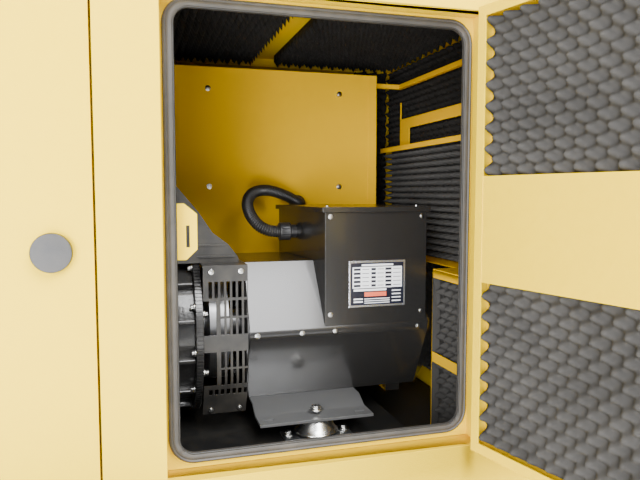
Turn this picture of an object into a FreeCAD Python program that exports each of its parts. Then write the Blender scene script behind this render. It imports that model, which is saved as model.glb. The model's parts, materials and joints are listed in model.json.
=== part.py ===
import FreeCAD, Part
import Sketcher
import math
import os
import re

# A towable diesel generator: a sound-proofed canopy on a single-axle trailer.
# Millimetres. X runs along the trailer (the drawbar points to -X), Y across it (the open door is on
# the -Y side) and Z up from the ground. The sizes below are the driving dimensions.
DIMENSIONS = {
    # canopy
    "canopy_length": 2000, "canopy_width": 1040, "sheet": 3, "skirt_height": 470,
    "eaves_height": 1560, "roof_rise": 35, "tray_depth": 50, "end_depth": 20,
    # door openings in the sides
    "door_left": 160, "door_right": 737, "door_bottom": 674, "door_top": 1478,
    "bay_left": -800, "bay_right": 60, "flange": 20, "flange_radius": 28,
    "seal_width": 19, "seal_thick": 12, "seal_inset": 5, "seal_radius": 45,
    # doors
    "door_angle": 103, "door_gap": 4, "door_thick": 34, "door_margin": 18, "foam_depth": 28,
    "hinge_out": 9, "hinge_radius": 7, "hinge_pin": 3, "hinge_length": 70, "hinge_clear": 0.4,
    "latch_z": 1060, "latch_radius": 30, "latch_depth": 14,
    # base, deck and tank
    "deck_height": 600, "deck_front": -780, "deck_rear": 718, "deck_half": 440, "deck_plate": 6,
    "floor_height": 555, "tank_front": -700, "tank_rear": 690, "tank_half": 425, "tank_top": 586,
    "filler_x": -640, "filler_y": -380, "filler_radius": 28, "filler_top": 690, "cap_radius": 36,
    # chassis, axle and wheels
    "rail_centre": 350, "rail_width": 60, "rail_height": 100, "rail_wall": 5, "rail_half": 950,
    "drawbar_front": -1750, "drawbar_root": -950, "drawbar_half": 45, "drawbar_width": 60,
    "axle_x": 10, "wheel_radius": 297, "wheel_width": 165, "wheel_inner": 545, "rim_radius": 178,
    "stub_radius": 20, "stub_clear": 0.3, "beam": 73, "guard_arch": 345,
    # coupling
    "housing_front": -1950, "housing_rear": -1650, "housing_half": 45, "housing_bottom": 375,
    "housing_top": 465, "draft_radius": 25, "ball_x": -2150, "ball_z": 415, "ball_radius": 25.4,
    "coupling_half": 38,
    # jockey wheel and prop stands
    "jockey_x": -1450, "jockey_y": -252, "jockey_outer": 30, "jockey_bore": 24.5, "jockey_inner": 24,
    "jockey_wheel": 100, "jockey_tread": 50, "jockey_travel": 190, "jockey_length": 330,
    "stand_x": 890, "stand_y": 416, "stand_radius": 22, "collar_radius": 30, "stand_top": 325,
    # generating set on its axis
    "axis_z": 829, "casing_front": 357, "casing_rear": 791, "casing_half": 185, "casing_flat": 110,
    "seam_low": 819, "seam_high": 842, "casing_top": 990, "casing_bottom": 668, "casing_wall": 4,
    "end_cover": 71, "end_taper": 0.6, "bore_radius": 105, "rotor_radius": 103, "shaft_radius": 32,
    "guard_front": 255, "guard_rear": 353, "guard_face": 187, "guard_bottom": 648,
    "bell_front": 60, "bell_rear": 238, "ring_radius": 201, "ring_width": 16.5, "flywheel_radius": 160,
    # terminal box and its plate
    "box_front": 532, "box_far": 500, "box_rear": 786, "box_back": 150, "box_top": 1106, "lid_height": 12,
    "lid_lip": 8, "plate_left": 590, "plate_right": 731, "plate_low": 883.5, "plate_high": 992.5,
    # feet and mounts
    "mount_rear": 504, "mount_front": -380, "mount_y": 207, "mount_height": 44, "mount_radius": 51,
    "mount_base": 158, "foot_left": 367, "foot_right": 628, "foot_out": 249, "foot_plate": 6,
    # conduit and its two ends
    "conduit_radius": 16, "nut_y": 20, "nut_z": 1052, "gland_x": 575, "gland_z": 1121,
    # engine
    "block_front": -480, "block_half": 150, "block_bottom": 700, "block_top": 1000,
    "head_top": 1090, "cover_top": 1150, "sump_bottom": 625, "cylinder_bore": 50, "cylinder_pitch": 170,
    "fan_x": -570, "fan_radius": 220, "fan_z": 960, "radiator_front": -760, "radiator_rear": -690,
    "stack_y": 350, "stack_radius": 33, "radiator_half": 300, "radiator_bottom": 640, "radiator_top": 1300,
    # control compartment
    "control_left": 60, "control_right": 826, "control_near": 245, "control_bottom": 660,
    "control_top": 1503, "fascia_y": 400, "hatch_bottom": 960, "hatch_rail": 40, "stop_radius": 20,
    "stop_x": 675, "outlet_z": 830, "outlet_first": 225, "outlet_pitch": 110, "outlet_radius": 28,
    "bolt_near": 320, "bolt_far": 707, "bolt_low": 1169, "bolt_high": 1443,
    # end wall and outlet box
    "foam_wall": 940, "foam_thick": 40, "ledge_height": 966, "ledge_lip": 22, "ledge_front": 812,
    "throat_front": 875, "throat_half": 171, "bar_low": 736, "bar_height": 25,
    "upper_bar": 1352, "upper_bar_height": 32, "lower_bar": 1281, "lower_bar_height": 15,
    "step_front": 905, "step_far": 399, "post_inner": 250, "post_outer": 320, "rail_low": 1478, "rail_size": 14,
    "strap_left": 478, "strap_right": 556,
    # lifting frame
    "column_left": 80, "column_width": 50, "column_out": 467, "eye_radius": 30,
    "eye_height": 1655, "eye_plate": 16,
}

# Places worked out from the driving dimensions, as expression text.
PLACES = {
    "near_skin": "(0 - canopy_width / 2)",
    "far_skin": "(canopy_width / 2)",
    "near_floor": "(near_skin + tray_depth)",
    "far_floor": "(far_skin - tray_depth)",
    "front_end": "(0 - canopy_length / 2)",
    "rear_end": "(canopy_length / 2)",
    "inner_rear": "(rear_end - end_depth)",
    "inner_front": "(front_end + end_depth)",
    "roof_top": "(eaves_height + roof_rise)",
    "roof_under": "(roof_top - sheet)",
    "far_wing": "(control_right + 4)",
    "hinge_x": "(door_right + 5)",
    "hinge_y": "(near_skin - hinge_out)",
    "bay_hinge_x": "(bay_left - 5)",
    "control_hinge_x": "(door_left - 5)",
    "far_hinge_y": "(far_skin + hinge_out)",
    "rail_bottom": "(skirt_height - rail_height)",
    "door_low": "(door_bottom + door_gap)",
    "door_high": "(door_top - door_gap)",
    "mount_top": "(deck_height + mount_height)",
    "overhang": "(wheel_inner + wheel_width + 15)",
    "brake_x": "(housing_front + 80)",
    "jockey_fork_top": "(2 * jockey_wheel + 13)",
    "jockey_tube_low": "(jockey_fork_top + jockey_travel + 5)",
    "stack_x": "(front_end + 120)",
    "reach": "(hinge_x - door_left - door_gap)",
    "trailer_front": "(ball_x - 60)",
    "lamp_rear": "(rear_end + 30)",
    "open_side": "(hinge_y - reach * sin(door_angle))",
    "origin_x": "((trailer_front + lamp_rear) / 2)",
    "origin_y": "((open_side + overhang) / 2)",
}

doc = FreeCAD.newDocument("Generator")
sheet = doc.addObject("Spreadsheet::Sheet", "Sizes")
for row, (name, number) in enumerate(DIMENSIONS.items(), start=1):
    sheet.set(f"A{row}", name)
    sheet.set(f"B{row}", str(number))
    sheet.setAlias(f"B{row}", name)
doc.recompute()


def formula(text):
    """Expression text with every place written out and every size read from the sheet."""
    def swap(match):
        word = match.group(0)
        if word in PLACES:
            return formula(PLACES[word])
        return f"Sizes.{word}" if word in DIMENSIONS else word
    return re.sub(r"[A-Za-z_]\w*", swap, str(text))


def bind(thing, **texts):
    for path, text in texts.items():
        thing.setExpression(path.replace("__", "."), formula(text))
    return thing


TURNS = {
    "x": FreeCAD.Rotation(FreeCAD.Vector(0, 1, 0), 90),
    "y": FreeCAD.Rotation(FreeCAD.Vector(1, 0, 0), -90),
    "z": FreeCAD.Rotation(),
}


def seat(thing, x, y, z, axis="z"):
    thing.Placement = FreeCAD.Placement(FreeCAD.Vector(), TURNS[axis])
    return bind(thing, Placement__Base__x=x, Placement__Base__y=y, Placement__Base__z=z)


def block(x, y, z):
    """A block from three (low, high) pairs."""
    thing = doc.addObject("Part::Box", "Block")
    bind(thing, Length=f"({x[1]}) - ({x[0]})", Width=f"({y[1]}) - ({y[0]})", Height=f"({z[1]}) - ({z[0]})")
    return seat(thing, x[0], y[0], z[0])


def rod(axis, x, y, z, radius, length):
    """A round bar that starts at a point and runs up its axis."""
    thing = doc.addObject("Part::Cylinder", "Rod")
    bind(thing, Radius=radius, Height=length)
    return seat(thing, x, y, z, axis)


def cone(axis, x, y, z, low, high, length):
    thing = doc.addObject("Part::Cone", "Cone")
    bind(thing, Radius1=low, Radius2=high, Height=length)
    return seat(thing, x, y, z, axis)


def fuse(*pieces):
    thing = doc.addObject("Part::MultiFuse", "Fuse")
    thing.Shapes = list(pieces)
    thing.Refine = True
    return thing


def cut(base, *tools):
    thing = doc.addObject("Part::Cut", "Cut")
    thing.Base = base
    thing.Tool = tools[0] if len(tools) == 1 else group(*tools)
    return thing


def common(first, second):
    thing = doc.addObject("Part::Common", "Common")
    thing.Base = first
    thing.Tool = second
    return thing


def group(*pieces):
    thing = doc.addObject("Part::Compound", "Group")
    thing.Links = list(pieces)
    return thing


def shell(x, y, z, wall, open_side):
    """A hollow block with one side open, named by its axis and sign, such as 'y+'."""
    spans = {"x": [f"({x[0]}) + ({wall})", f"({x[1]}) - ({wall})"],
             "y": [f"({y[0]}) + ({wall})", f"({y[1]}) - ({wall})"],
             "z": [f"({z[0]}) + ({wall})", f"({z[1]}) - ({wall})"]}
    outer = {"x": x, "y": y, "z": z}
    for side in open_side.split():
        end = 1 if side[1] == "+" else 0
        spans[side[0]][end] = f"({outer[side[0]][end]}) {side[1]} 1"
    return cut(block(x, y, z), block(spans["x"], spans["y"], spans["z"]))


def plates(x, y, z, wall):
    """The five flat plates of a box that is open towards +Y."""
    floor = (y[0], f"{y[0]} + {wall}")
    depth = (f"{y[0]} + {wall}", y[1])
    between = (f"{z[0]} + {wall}", f"{z[1]} - {wall}")
    return [block(x, floor, z), block(x, depth, (z[0], between[0])), block(x, depth, (between[1], z[1])),
            block((x[0], f"{x[0]} + {wall}"), depth, between), block((f"{x[1]} - {wall}", x[1]), depth, between)]


def ring(axis, x, y, z, outer, inner, length):
    """A tube that starts at a point and runs up its axis."""
    start = {"x": (f"({x}) - 1", y, z), "y": (x, f"({y}) - 1", z), "z": (x, y, f"({z}) - 1")}[axis]
    return cut(rod(axis, x, y, z, outer, length), rod(axis, *start, inner, f"({length}) + 2"))


def rounded(x, y, z, radius):
    """A plate in the XZ plane with four round corners."""
    pieces = [block((f"({x[0]}) + ({radius})", f"({x[1]}) - ({radius})"), y, z),
              block(x, y, (f"({z[0]}) + ({radius})", f"({z[1]}) - ({radius})"))]
    for px in (f"({x[0]}) + ({radius})", f"({x[1]}) - ({radius})"):
        for pz in (f"({z[0]}) + ({radius})", f"({z[1]}) - ({radius})"):
            pieces.append(rod("y", px, y[0], pz, radius, f"({y[1]}) - ({y[0]})"))
    return fuse(*pieces)


def sketched(plane, points, name):
    """A body with a closed outline on one of its own origin planes, each corner bound to the sheet."""
    body = doc.addObject("PartDesign::Body", name)
    sketch = body.newObject("Sketcher::SketchObject", name + "Outline")
    support = [item for item in body.Origin.OriginFeatures if item.Role == plane][0]
    sketch.AttachmentSupport = [(support, "")]
    sketch.MapMode = "FlatFace"
    count = len(points)
    spots = [FreeCAD.Vector(100 * math.cos(2 * math.pi * step / count),
                            100 * math.sin(2 * math.pi * step / count), 0) for step in range(count)]
    for step in range(count):
        sketch.addGeometry(Part.LineSegment(spots[step], spots[(step + 1) % count]))
    for step in range(count):
        sketch.addConstraint(Sketcher.Constraint("Coincident", step, 2, (step + 1) % count, 1))
    for step, (across, up) in enumerate(points):
        for kind, text, start in (("DistanceX", across, spots[step].x), ("DistanceY", up, spots[step].y)):
            index = sketch.addConstraint(Sketcher.Constraint(kind, -1, 1, step, 1, start))
            sketch.setExpression(f"Constraints[{index}]", formula(text))
    return body, sketch


def prism(axis, points, low, high, name="Prism"):
    """An outline pushed along an axis: points are (y, z) for x, (x, z) for y and (x, y) for z."""
    plane = {"x": "YZ_Plane", "y": "XZ_Plane", "z": "XY_Plane"}[axis]
    body, sketch = sketched(plane, points, name)
    pad = body.newObject("PartDesign::Pad", name + "Pad")
    pad.Profile = sketch
    pad.Reversed = axis == "y"
    bind(pad, Length=f"({high}) - ({low})")
    bind(body, **{f"Placement__Base__{axis}": low})
    return body


def turned(axis, x, y, z, points, name="Turned"):
    """An outline of (radius, height) points turned once about an axis."""
    body, sketch = sketched("XZ_Plane", points, name)
    turn = body.newObject("PartDesign::Revolution", name + "Turn")
    turn.Profile = sketch
    turn.ReferenceAxis = (sketch, ["V_Axis"])
    turn.Angle = 360
    return seat(body, x, y, z, axis)


NODES = []


def node(label, *pieces, hinge=None):
    """A finished sub-part, moved to the row's origin, or swung open about a vertical hinge."""
    thing = group(*pieces)
    thing.Label = label
    x, y = ("0", "0") if hinge is None else hinge[:2]
    if hinge is not None:
        thing.Placement = FreeCAD.Placement(FreeCAD.Vector(), FreeCAD.Rotation(FreeCAD.Vector(0, 0, 1), 1))
        bind(thing, Placement__Rotation__Angle=hinge[2])
    bind(thing, Placement__Base__x=f"{x} - origin_x", Placement__Base__y=f"{y} - origin_y")
    NODES.append(thing)
    return thing


def across(sign, low, high):
    """A (low, high) pair in Y for a piece on one side, from its inner and outer distance."""
    return (f"{sign} * ({low})", f"{sign} * ({high})") if sign > 0 else (f"0 - ({high})", f"0 - ({low})")


# ---------------------------------------------------------------- chassis
def chassis_frame():
    """Two rails, cross members, a converging drawbar, the overrun housing and the jockey clamp."""
    pieces = []
    rails = ("0 - rail_half", "rail_half")
    for sign in (-1, 1):
        y = across(sign, "rail_centre - rail_width / 2", "rail_centre + rail_width / 2")
        pieces.append(shell(rails, y, ("rail_bottom", "skirt_height"), "rail_wall", "x+ x-"))
        inner = f"{sign} * (rail_centre - rail_width / 2)"
        outer = f"{sign} * (rail_centre + rail_width / 2 - 4)"
        tip = f"{sign} * drawbar_half"
        tip_out = f"{sign} * (drawbar_half + drawbar_width)"
        arm = [("drawbar_root", inner), ("drawbar_root", outer), ("drawbar_front", tip_out), ("drawbar_front", tip)]
        pieces.append(prism("z", arm, "rail_bottom + 8", "skirt_height - 12", "DrawbarArm"))
        plate = across(sign, "rail_centre + rail_width / 2", "rail_centre + rail_width / 2 + 6")
        stay = ("stand_x - 35", "stand_x + 35")
        pieces.append(block(stay, plate, ("stand_top - 130", "skirt_height - 12")))
        pieces.append(ring("z", "stand_x", f"{sign} * stand_y", "stand_top - 130",
                           "collar_radius", "stand_radius + 0.4", 130))
    span = ("rail_width / 2 - rail_centre", "rail_centre - rail_width / 2")
    for x in ("0 - rail_half", "-300", "300", "rail_half - 60"):
        pieces.append(block((x, f"{x} + 60"), span, ("rail_bottom + 10", "skirt_height - 10")))
    housing = block(("housing_front", "housing_rear"), ("0 - housing_half", "housing_half"),
                    ("housing_bottom", "housing_top"))
    bore = rod("x", "housing_front - 1", 0, "ball_z + 5", "draft_radius + 0.4", "housing_rear - housing_front + 2")
    pieces.append(cut(housing, bore))
    clamp_y = ("jockey_y + jockey_outer - 2", "jockey_y + jockey_outer + 45")
    clamp = block(("jockey_x - 25", "jockey_x + 25"), clamp_y, ("skirt_height - 50", "skirt_height - 12"))
    sleeve = rod("z", "jockey_x", "jockey_y", "rail_bottom", "jockey_outer", 200)
    taper = [("drawbar_root", "0 - rail_centre - rail_width / 2 + 4"), ("drawbar_front", "0 - drawbar_half - drawbar_width"),
             ("drawbar_front", "0"), ("drawbar_root", "0")]
    pieces.append(cut(clamp, sleeve, prism("z", taper, "rail_bottom", "skirt_height", "ArmSpace")))
    tube = ring("z", "jockey_x", "jockey_y", "jockey_tube_low", "jockey_outer", "jockey_bore", "jockey_length")
    cap = ring("z", "jockey_x", "jockey_y", "jockey_tube_low + jockey_length", "jockey_outer", "9", "6")
    pieces += [tube, cap]
    pivot = rod("y", "brake_x", "housing_half", "housing_top - 30", 8, 40)
    pieces.append(pivot)
    return node("chassis_frame", *pieces)


def axle():
    """A square beam under the rails with a stub at each end."""
    x = ("axle_x - beam / 2", "axle_x + beam / 2")
    low = "rail_bottom - beam"
    beam = block(x, ("0 - wheel_inner + 20", "wheel_inner - 20"), (low, "rail_bottom"))
    stubs = [rod("y", "axle_x", f"{sign} * (wheel_inner - 20) - ({sign} < 0 ? wheel_width : 0)",
                 "wheel_radius", "stub_radius", "wheel_width") for sign in (-1, 1)]
    return node("axle", fuse(beam, *stubs))


def wheels():
    """Tyres on pressed rims with a hub, one pair of nodes on each side."""
    for name, sign in (("near", -1), ("far", 1)):
        low = "0 - wheel_inner - wheel_width" if sign < 0 else "wheel_inner"
        tread = [("rim_radius", 8), ("rim_radius + 60", 0), ("wheel_radius - 18", 10), ("wheel_radius", 32),
                 ("wheel_radius", "wheel_width - 32"), ("wheel_radius - 18", "wheel_width - 10"),
                 ("rim_radius + 60", "wheel_width"), ("rim_radius", "wheel_width - 8")]
        node(f"tyre_{name}", turned("y", "axle_x", low, "wheel_radius", tread, "Tread"))
        bore = "stub_radius + stub_clear"
        if sign > 0:
            disc = [(bore, 5), ("55", 5), ("55", 60), ("120", 75), ("rim_radius - 14", 75),
                    ("rim_radius - 14", 8), ("rim_radius", 8), ("rim_radius", "wheel_width - 8"),
                    ("rim_radius - 6", "wheel_width - 8"), ("rim_radius - 8", 90), ("120", 90),
                    ("60", 85), ("60", "wheel_width - 12"), (bore, "wheel_width - 12")]
        else:
            flip = "wheel_width"
            disc = [(bore, 12), ("60", 12), ("60", f"{flip} - 85"), ("120", f"{flip} - 90"),
                    ("rim_radius - 8", f"{flip} - 90"), ("rim_radius - 6", 8), ("rim_radius", 8),
                    ("rim_radius", f"{flip} - 8"), ("rim_radius - 14", f"{flip} - 8"),
                    ("rim_radius - 14", f"{flip} - 75"), ("120", f"{flip} - 75"), ("55", f"{flip} - 60"),
                    ("55", f"{flip} - 5"), (bore, f"{flip} - 5")]
        node(f"wheel_rim_{name}", turned("y", "axle_x", low, "wheel_radius", disc, "Rim"))


def mudguards():
    """Arched guards bolted to the canopy's skirt."""
    pieces = []
    for sign in (-1, 1):
        low = "0 - overhang" if sign < 0 else "far_skin"
        width = "overhang - far_skin"
        arch = ring("y", "axle_x", low, "wheel_radius", "guard_arch", "guard_arch - sheet", width)
        y = across(sign, "far_skin - 1", "overhang + 1")
        top = block(("axle_x - guard_arch - 5", "axle_x + guard_arch + 5"), y,
                    ("wheel_radius + 60", "wheel_radius + guard_arch + 5"))
        pieces.append(common(arch, top))
    return node("mudguards", *pieces)


def coupling():
    """The ball coupling on its draft tube, and the handle on top of it."""
    head = block(("ball_x - 60", "ball_x + 90"), ("0 - coupling_half", "coupling_half"), ("ball_z - 20", "ball_z + 42"))
    tube = rod("x", "ball_x + 80", 0, "ball_z + 5", "draft_radius", "housing_rear - ball_x - 90")
    socket = rod("z", "ball_x", 0, "ball_z - 30", "ball_radius", 38)
    dome = doc.addObject("Part::Sphere", "Dome")
    bind(dome, Radius="ball_radius")
    seat(dome, "ball_x", 0, "ball_z + 8")
    ears = [block(("ball_x + 43", "ball_x + 67"), across(sign, "coupling_half - 9", "coupling_half"),
                  ("ball_z + 40", "ball_z + 66")) for sign in (-1, 1)]
    pin = rod("y", "ball_x + 55", "0 - coupling_half + 1", "ball_z + 52.5", 4, "2 * coupling_half - 2")
    node("coupling_head", cut(fuse(head, tube, *ears, pin), socket, dome))
    hub = ring("y", "ball_x + 55", "0 - coupling_half + 9.3", "ball_z + 52.5", 10, 4.3, "2 * coupling_half - 18.6")
    grip = prism("y", [("ball_x + 55", "ball_z + 44"), ("ball_x + 170", "ball_z + 78"),
                       ("ball_x + 170", "ball_z + 92"), ("ball_x + 55", "ball_z + 62")], -14, 14, "Grip")
    space = rod("y", "ball_x + 55", "0 - coupling_half", "ball_z + 52.5", 4.3, "2 * coupling_half")
    node("coupling_handle", cut(fuse(hub, grip), space))


def handbrake():
    """A lever beside the overrun housing."""
    y = "housing_half + 0.5"
    hub = ring("y", "brake_x", y, "housing_top - 30", 24, 8.3, 22)
    bar = prism("y", [("brake_x - 12", "housing_top - 12"), ("brake_x + 12", "housing_top - 12"),
                      ("brake_x + 160", "housing_top + 290"), ("brake_x + 136", "housing_top + 302")],
                "housing_half + 5", "housing_half + 17", "Lever")
    return node("handbrake_lever", fuse(hub, bar))


def jockey():
    """The jockey wheel's sliding tube, castor fork, wheel and winding crank."""
    low = "jockey_fork_top + 0.3"
    tube = ring("z", "jockey_x", "jockey_y", low, "jockey_inner", 17, "jockey_length - 10")
    node("jockey_inner_tube", fuse(tube, rod("z", "jockey_x", "jockey_y", low, "jockey_inner", 12)))
    cheek = "jockey_tread / 2 + 3"
    plates = [block(("jockey_x - 20", "jockey_x + 20"),
                    (f"jockey_y + {sign} * ({cheek}) - 2.5", f"jockey_y + {sign} * ({cheek}) + 2.5"),
                    ("jockey_wheel - 18", "jockey_fork_top")) for sign in (-1, 1)]
    bridge = block(("jockey_x - 20", "jockey_x + 20"), (f"jockey_y - ({cheek}) - 2.5", f"jockey_y + {cheek} + 2.5"),
                   ("jockey_fork_top - 6", "jockey_fork_top"))
    pin = rod("y", "jockey_x", f"jockey_y - ({cheek}) - 8", "jockey_wheel", 6, f"2 * ({cheek}) + 16")
    node("jockey_fork", fuse(*plates, bridge, pin))
    node("jockey_wheel", ring("y", "jockey_x", "jockey_y - jockey_tread / 2", "jockey_wheel",
                              "jockey_wheel", 6.3, "jockey_tread"))
    top = "jockey_tube_low + jockey_length + 6.3"
    stem = rod("z", "jockey_x", "jockey_y", f"{top} - 60", 8, 70)
    boss = rod("z", "jockey_x", "jockey_y", top, 14, 26)
    arm = block(("jockey_x", "jockey_x + 110"), ("jockey_y - 9", "jockey_y + 9"), (f"{top} + 14", f"{top} + 20"))
    grip = rod("z", "jockey_x + 100", "jockey_y", f"{top} + 14", 11, 80)
    node("jockey_crank", fuse(stem, boss, arm, grip))


def prop_stands():
    """Round legs with a foot plate, one on each side at the rear."""
    for name, sign in (("near", -1), ("far", 1)):
        leg = rod("z", "stand_x", f"{sign} * stand_y", 2, "stand_radius", "stand_top - 2")
        foot = rod("z", "stand_x", f"{sign} * stand_y", 0, 60, 8)
        node(f"prop_stand_{name}", fuse(leg, foot))


# ---------------------------------------------------------------- base and canopy
def base_frame():
    """The floor tray, the raised deck on its walls and the lower floor behind it."""
    inner = ("near_floor", "far_floor")
    tray = block(("inner_front", "inner_rear"), inner, ("skirt_height", "skirt_height + 4"))
    deck = block(("deck_front", "deck_rear"), ("0 - deck_half", "deck_half"), ("deck_height - deck_plate", "deck_height"))
    neck = rod("z", "filler_x", "filler_y", "deck_height - 20", "filler_radius + 1", 40)
    pieces = [tray, cut(deck, neck)]
    rise = ("skirt_height + 4", "deck_height - deck_plate")
    for sign in (-1, 1):
        pieces.append(block(("deck_front", "deck_rear"), across(sign, "deck_half - 4", "deck_half"), rise))
    between = ("4 - deck_half", "deck_half - 4")
    pieces.append(block(("deck_front", "deck_front + 4"), between, rise))
    pieces.append(block(("deck_rear - 4", "deck_rear"), between, rise))
    pieces.append(block(("deck_rear", "inner_rear"), inner, ("floor_height - sheet", "floor_height")))
    pieces.append(block(("inner_rear - 40", "inner_rear"), inner, ("skirt_height + 4", "floor_height - sheet")))
    return node("base_frame", *pieces)


def fuel_tank():
    """A flat tank under the deck with its filler neck, and the screw cap."""
    x = ("tank_front", "tank_rear")
    y = ("0 - tank_half", "tank_half")
    z = ("skirt_height + 4", "tank_top")
    inner = block(("tank_front + 4", "tank_rear - 4"), ("4 - tank_half", "tank_half - 4"),
                  ("skirt_height + 8", "tank_top - 4"))
    neck = rod("z", "filler_x", "filler_y", "tank_top - 10", "filler_radius", "filler_top - tank_top + 10")
    bore = rod("z", "filler_x", "filler_y", "tank_top - 20", "filler_radius - 4", "filler_top - tank_top + 40")
    node("fuel_tank", cut(fuse(block(x, y, z), neck), inner, bore))
    cap = cut(rod("z", "filler_x", "filler_y", "filler_top - 18", "cap_radius", 32),
              rod("z", "filler_x", "filler_y", "filler_top - 20", "filler_radius + 0.5", 20.3))
    node("fuel_cap", cap)


def door_flange(x, z, y):
    """The rounded flange that a door seal sits on."""
    outer = block((f"{x[0]} - 30", f"{x[1]} + 30"), y, (f"{z[0]} - 30", f"{z[1]} + 30"))
    hole = rounded((f"{x[0]} + flange", f"{x[1]} - flange"), (f"{y[0]} - 5", f"{y[1]} + 5"),
                   (f"{z[0]} + flange", f"{z[1]} - flange"), "flange_radius")
    return cut(outer, hole)


def side_frames():
    """Folded trays butted together round the door openings, with a flange behind each opening."""
    full = ("front_end", "rear_end")
    low = ("skirt_height", "door_bottom")
    high = ("door_top", "eaves_height")
    middle = ("door_bottom", "door_top")
    near = ("near_skin", "near_floor")
    far = ("far_floor", "far_skin")
    posts = [("front_end", "bay_left"), ("bay_right", "door_left"), ("door_right", "rear_end")]
    pieces = [shell(full, near, low, "sheet", "y+"), shell(full, near, high, "sheet", "y+")]
    pieces += [shell(post, near, middle, "sheet", "y+") for post in posts]
    for span in (("door_left", "door_right"), ("bay_left", "bay_right")):
        pieces.append(door_flange(span, middle, ("near_floor", "near_floor + sheet")))
    for spot in ("door_bottom + 90", "door_top - 90 - hinge_length"):
        for hinge in ("hinge_x", "bay_hinge_x"):
            pieces.append(hinge_half(hinge, "hinge_y", spot, -1 if hinge == "bay_hinge_x" else 1, -1))
    pieces.append(striker_bracket())
    node("side_frame_near", *pieces)
    posts = [("front_end", "door_left"), ("door_right", "rear_end")]
    pieces = [shell(full, far, low, "sheet", "y-"), shell(full, far, high, "sheet", "y-")]
    pieces += [shell(post, far, middle, "sheet", "y-") for post in posts]
    pieces.append(shell(("door_left", "door_right"), far, ("hatch_bottom - hatch_rail", "hatch_bottom"), "sheet", "y-"))
    hatch = ("hatch_bottom", "door_top")
    pieces.append(door_flange(("door_left", "door_right"), hatch, ("far_floor - sheet", "far_floor")))
    for spot in ("hatch_bottom + 50", "door_top - 50 - hinge_length"):
        pieces.append(hinge_half("control_hinge_x", "far_hinge_y", spot, -1, 1))
    node("side_frame_far", *pieces)


def striker_bracket():
    """A chamfered plate that stands inside the door post, beside the latch, on a folded foot."""
    outline = [("door_left - 8", "latch_z - 26"), ("door_left + 42", "latch_z - 26"), ("door_left + 61", "latch_z - 8"),
               ("door_left + 61", "latch_z + 54"), ("door_left + 39", "latch_z + 72"), ("door_left - 8", "latch_z + 72")]
    plate = prism("y", outline, "near_floor + 27", "near_floor + 30", "Striker")
    slot = block(("door_left + 42", "door_left + 48"), ("near_floor + 20", "near_floor + 40"),
                 ("latch_z - 4", "latch_z + 34"))
    foot = block(("door_left - 8", "door_left - 5"), ("near_floor + sheet", "near_floor + 28"),
                 ("latch_z - 26", "latch_z + 72"))
    return fuse(cut(plate, slot), foot)


def hinge_half(x, y, z, along, out):
    """A leaf on the post and the lower knuckle, with the pin standing up from it."""
    leaf_x = (f"{x} + 8", f"{x} + 38") if along > 0 else (f"{x} - 38", f"{x} - 8")
    skin = f"{y} - {out} * hinge_out"
    leaf_y = (f"{skin} - 3", skin) if out < 0 else (skin, f"{skin} + 3")
    knuckle = rod("z", x, y, z, "hinge_radius", "hinge_length / 2 - 1")
    reach = (f"{y} - 2", skin) if out < 0 else (skin, f"{y} + 2")
    web = block((x, f"{x} + 9") if along > 0 else (f"{x} - 9", x), reach, (z, f"{z} + hinge_length / 2 - 1"))
    pin = rod("z", x, y, z, "hinge_pin", "hinge_length - 2")
    leaf = block(leaf_x, leaf_y, (z, f"{z} + hinge_length"))
    return fuse(leaf, knuckle, web, pin)


def door_hinge(z, along, out, x="0", y="0"):
    """The door's knuckle and leaf, in the hinge's own coordinates, above the post's knuckle."""
    low = f"{z} + hinge_length / 2"
    knuckle = rod("z", x, y, low, "hinge_radius", "hinge_length / 2")
    skin = f"{y} - ({out}) * hinge_out"
    inner = (f"{x} - 48", f"{x} - 8") if along < 0 else (f"{x} + 8", f"{x} + 48")
    leaf_y = (f"{skin} - 3", skin) if out < 0 else (skin, f"{skin} + 3")
    leaf = block(inner, leaf_y, (low, f"{low} + hinge_length / 2"))
    web_y = (f"{y} - 2", f"{skin} - 0.5") if out < 0 else (f"{skin} + 0.5", f"{y} + 2")
    web = block((f"{x} - 9", x) if along < 0 else (x, f"{x} + 9"), web_y, (low, f"{low} + hinge_length / 2"))
    bore = rod("z", x, y, f"{low} - 1", "hinge_pin + hinge_clear", "hinge_length / 2 + 2")
    return cut(fuse(knuckle, leaf, web), bore)


def tray_door(x, z, along, out, x0="0", y0="0"):
    """A door pressed as a shallow tray, its outer skin level with the canopy's."""
    skin = f"{y0} - ({out}) * hinge_out"
    y = (skin, f"{skin} + door_thick") if out < 0 else (f"{skin} - door_thick", skin)
    tray = shell(x, y, z, "sheet", "y+" if out < 0 else "y-")
    lip_y = (f"{y[1]} - sheet", y[1]) if out < 0 else (y[0], f"{y[0]} + sheet")
    lip = cut(block((f"{x[0]} + sheet", f"{x[1]} - sheet"), lip_y, (f"{z[0]} + sheet", f"{z[1]} - sheet")),
              block((f"{x[0]} + door_margin", f"{x[1]} - door_margin"), (f"{lip_y[0]} - 5", f"{lip_y[1]} + 5"),
                    (f"{z[0]} + door_margin", f"{z[1]} - door_margin")))
    return fuse(tray, lip)


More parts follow.
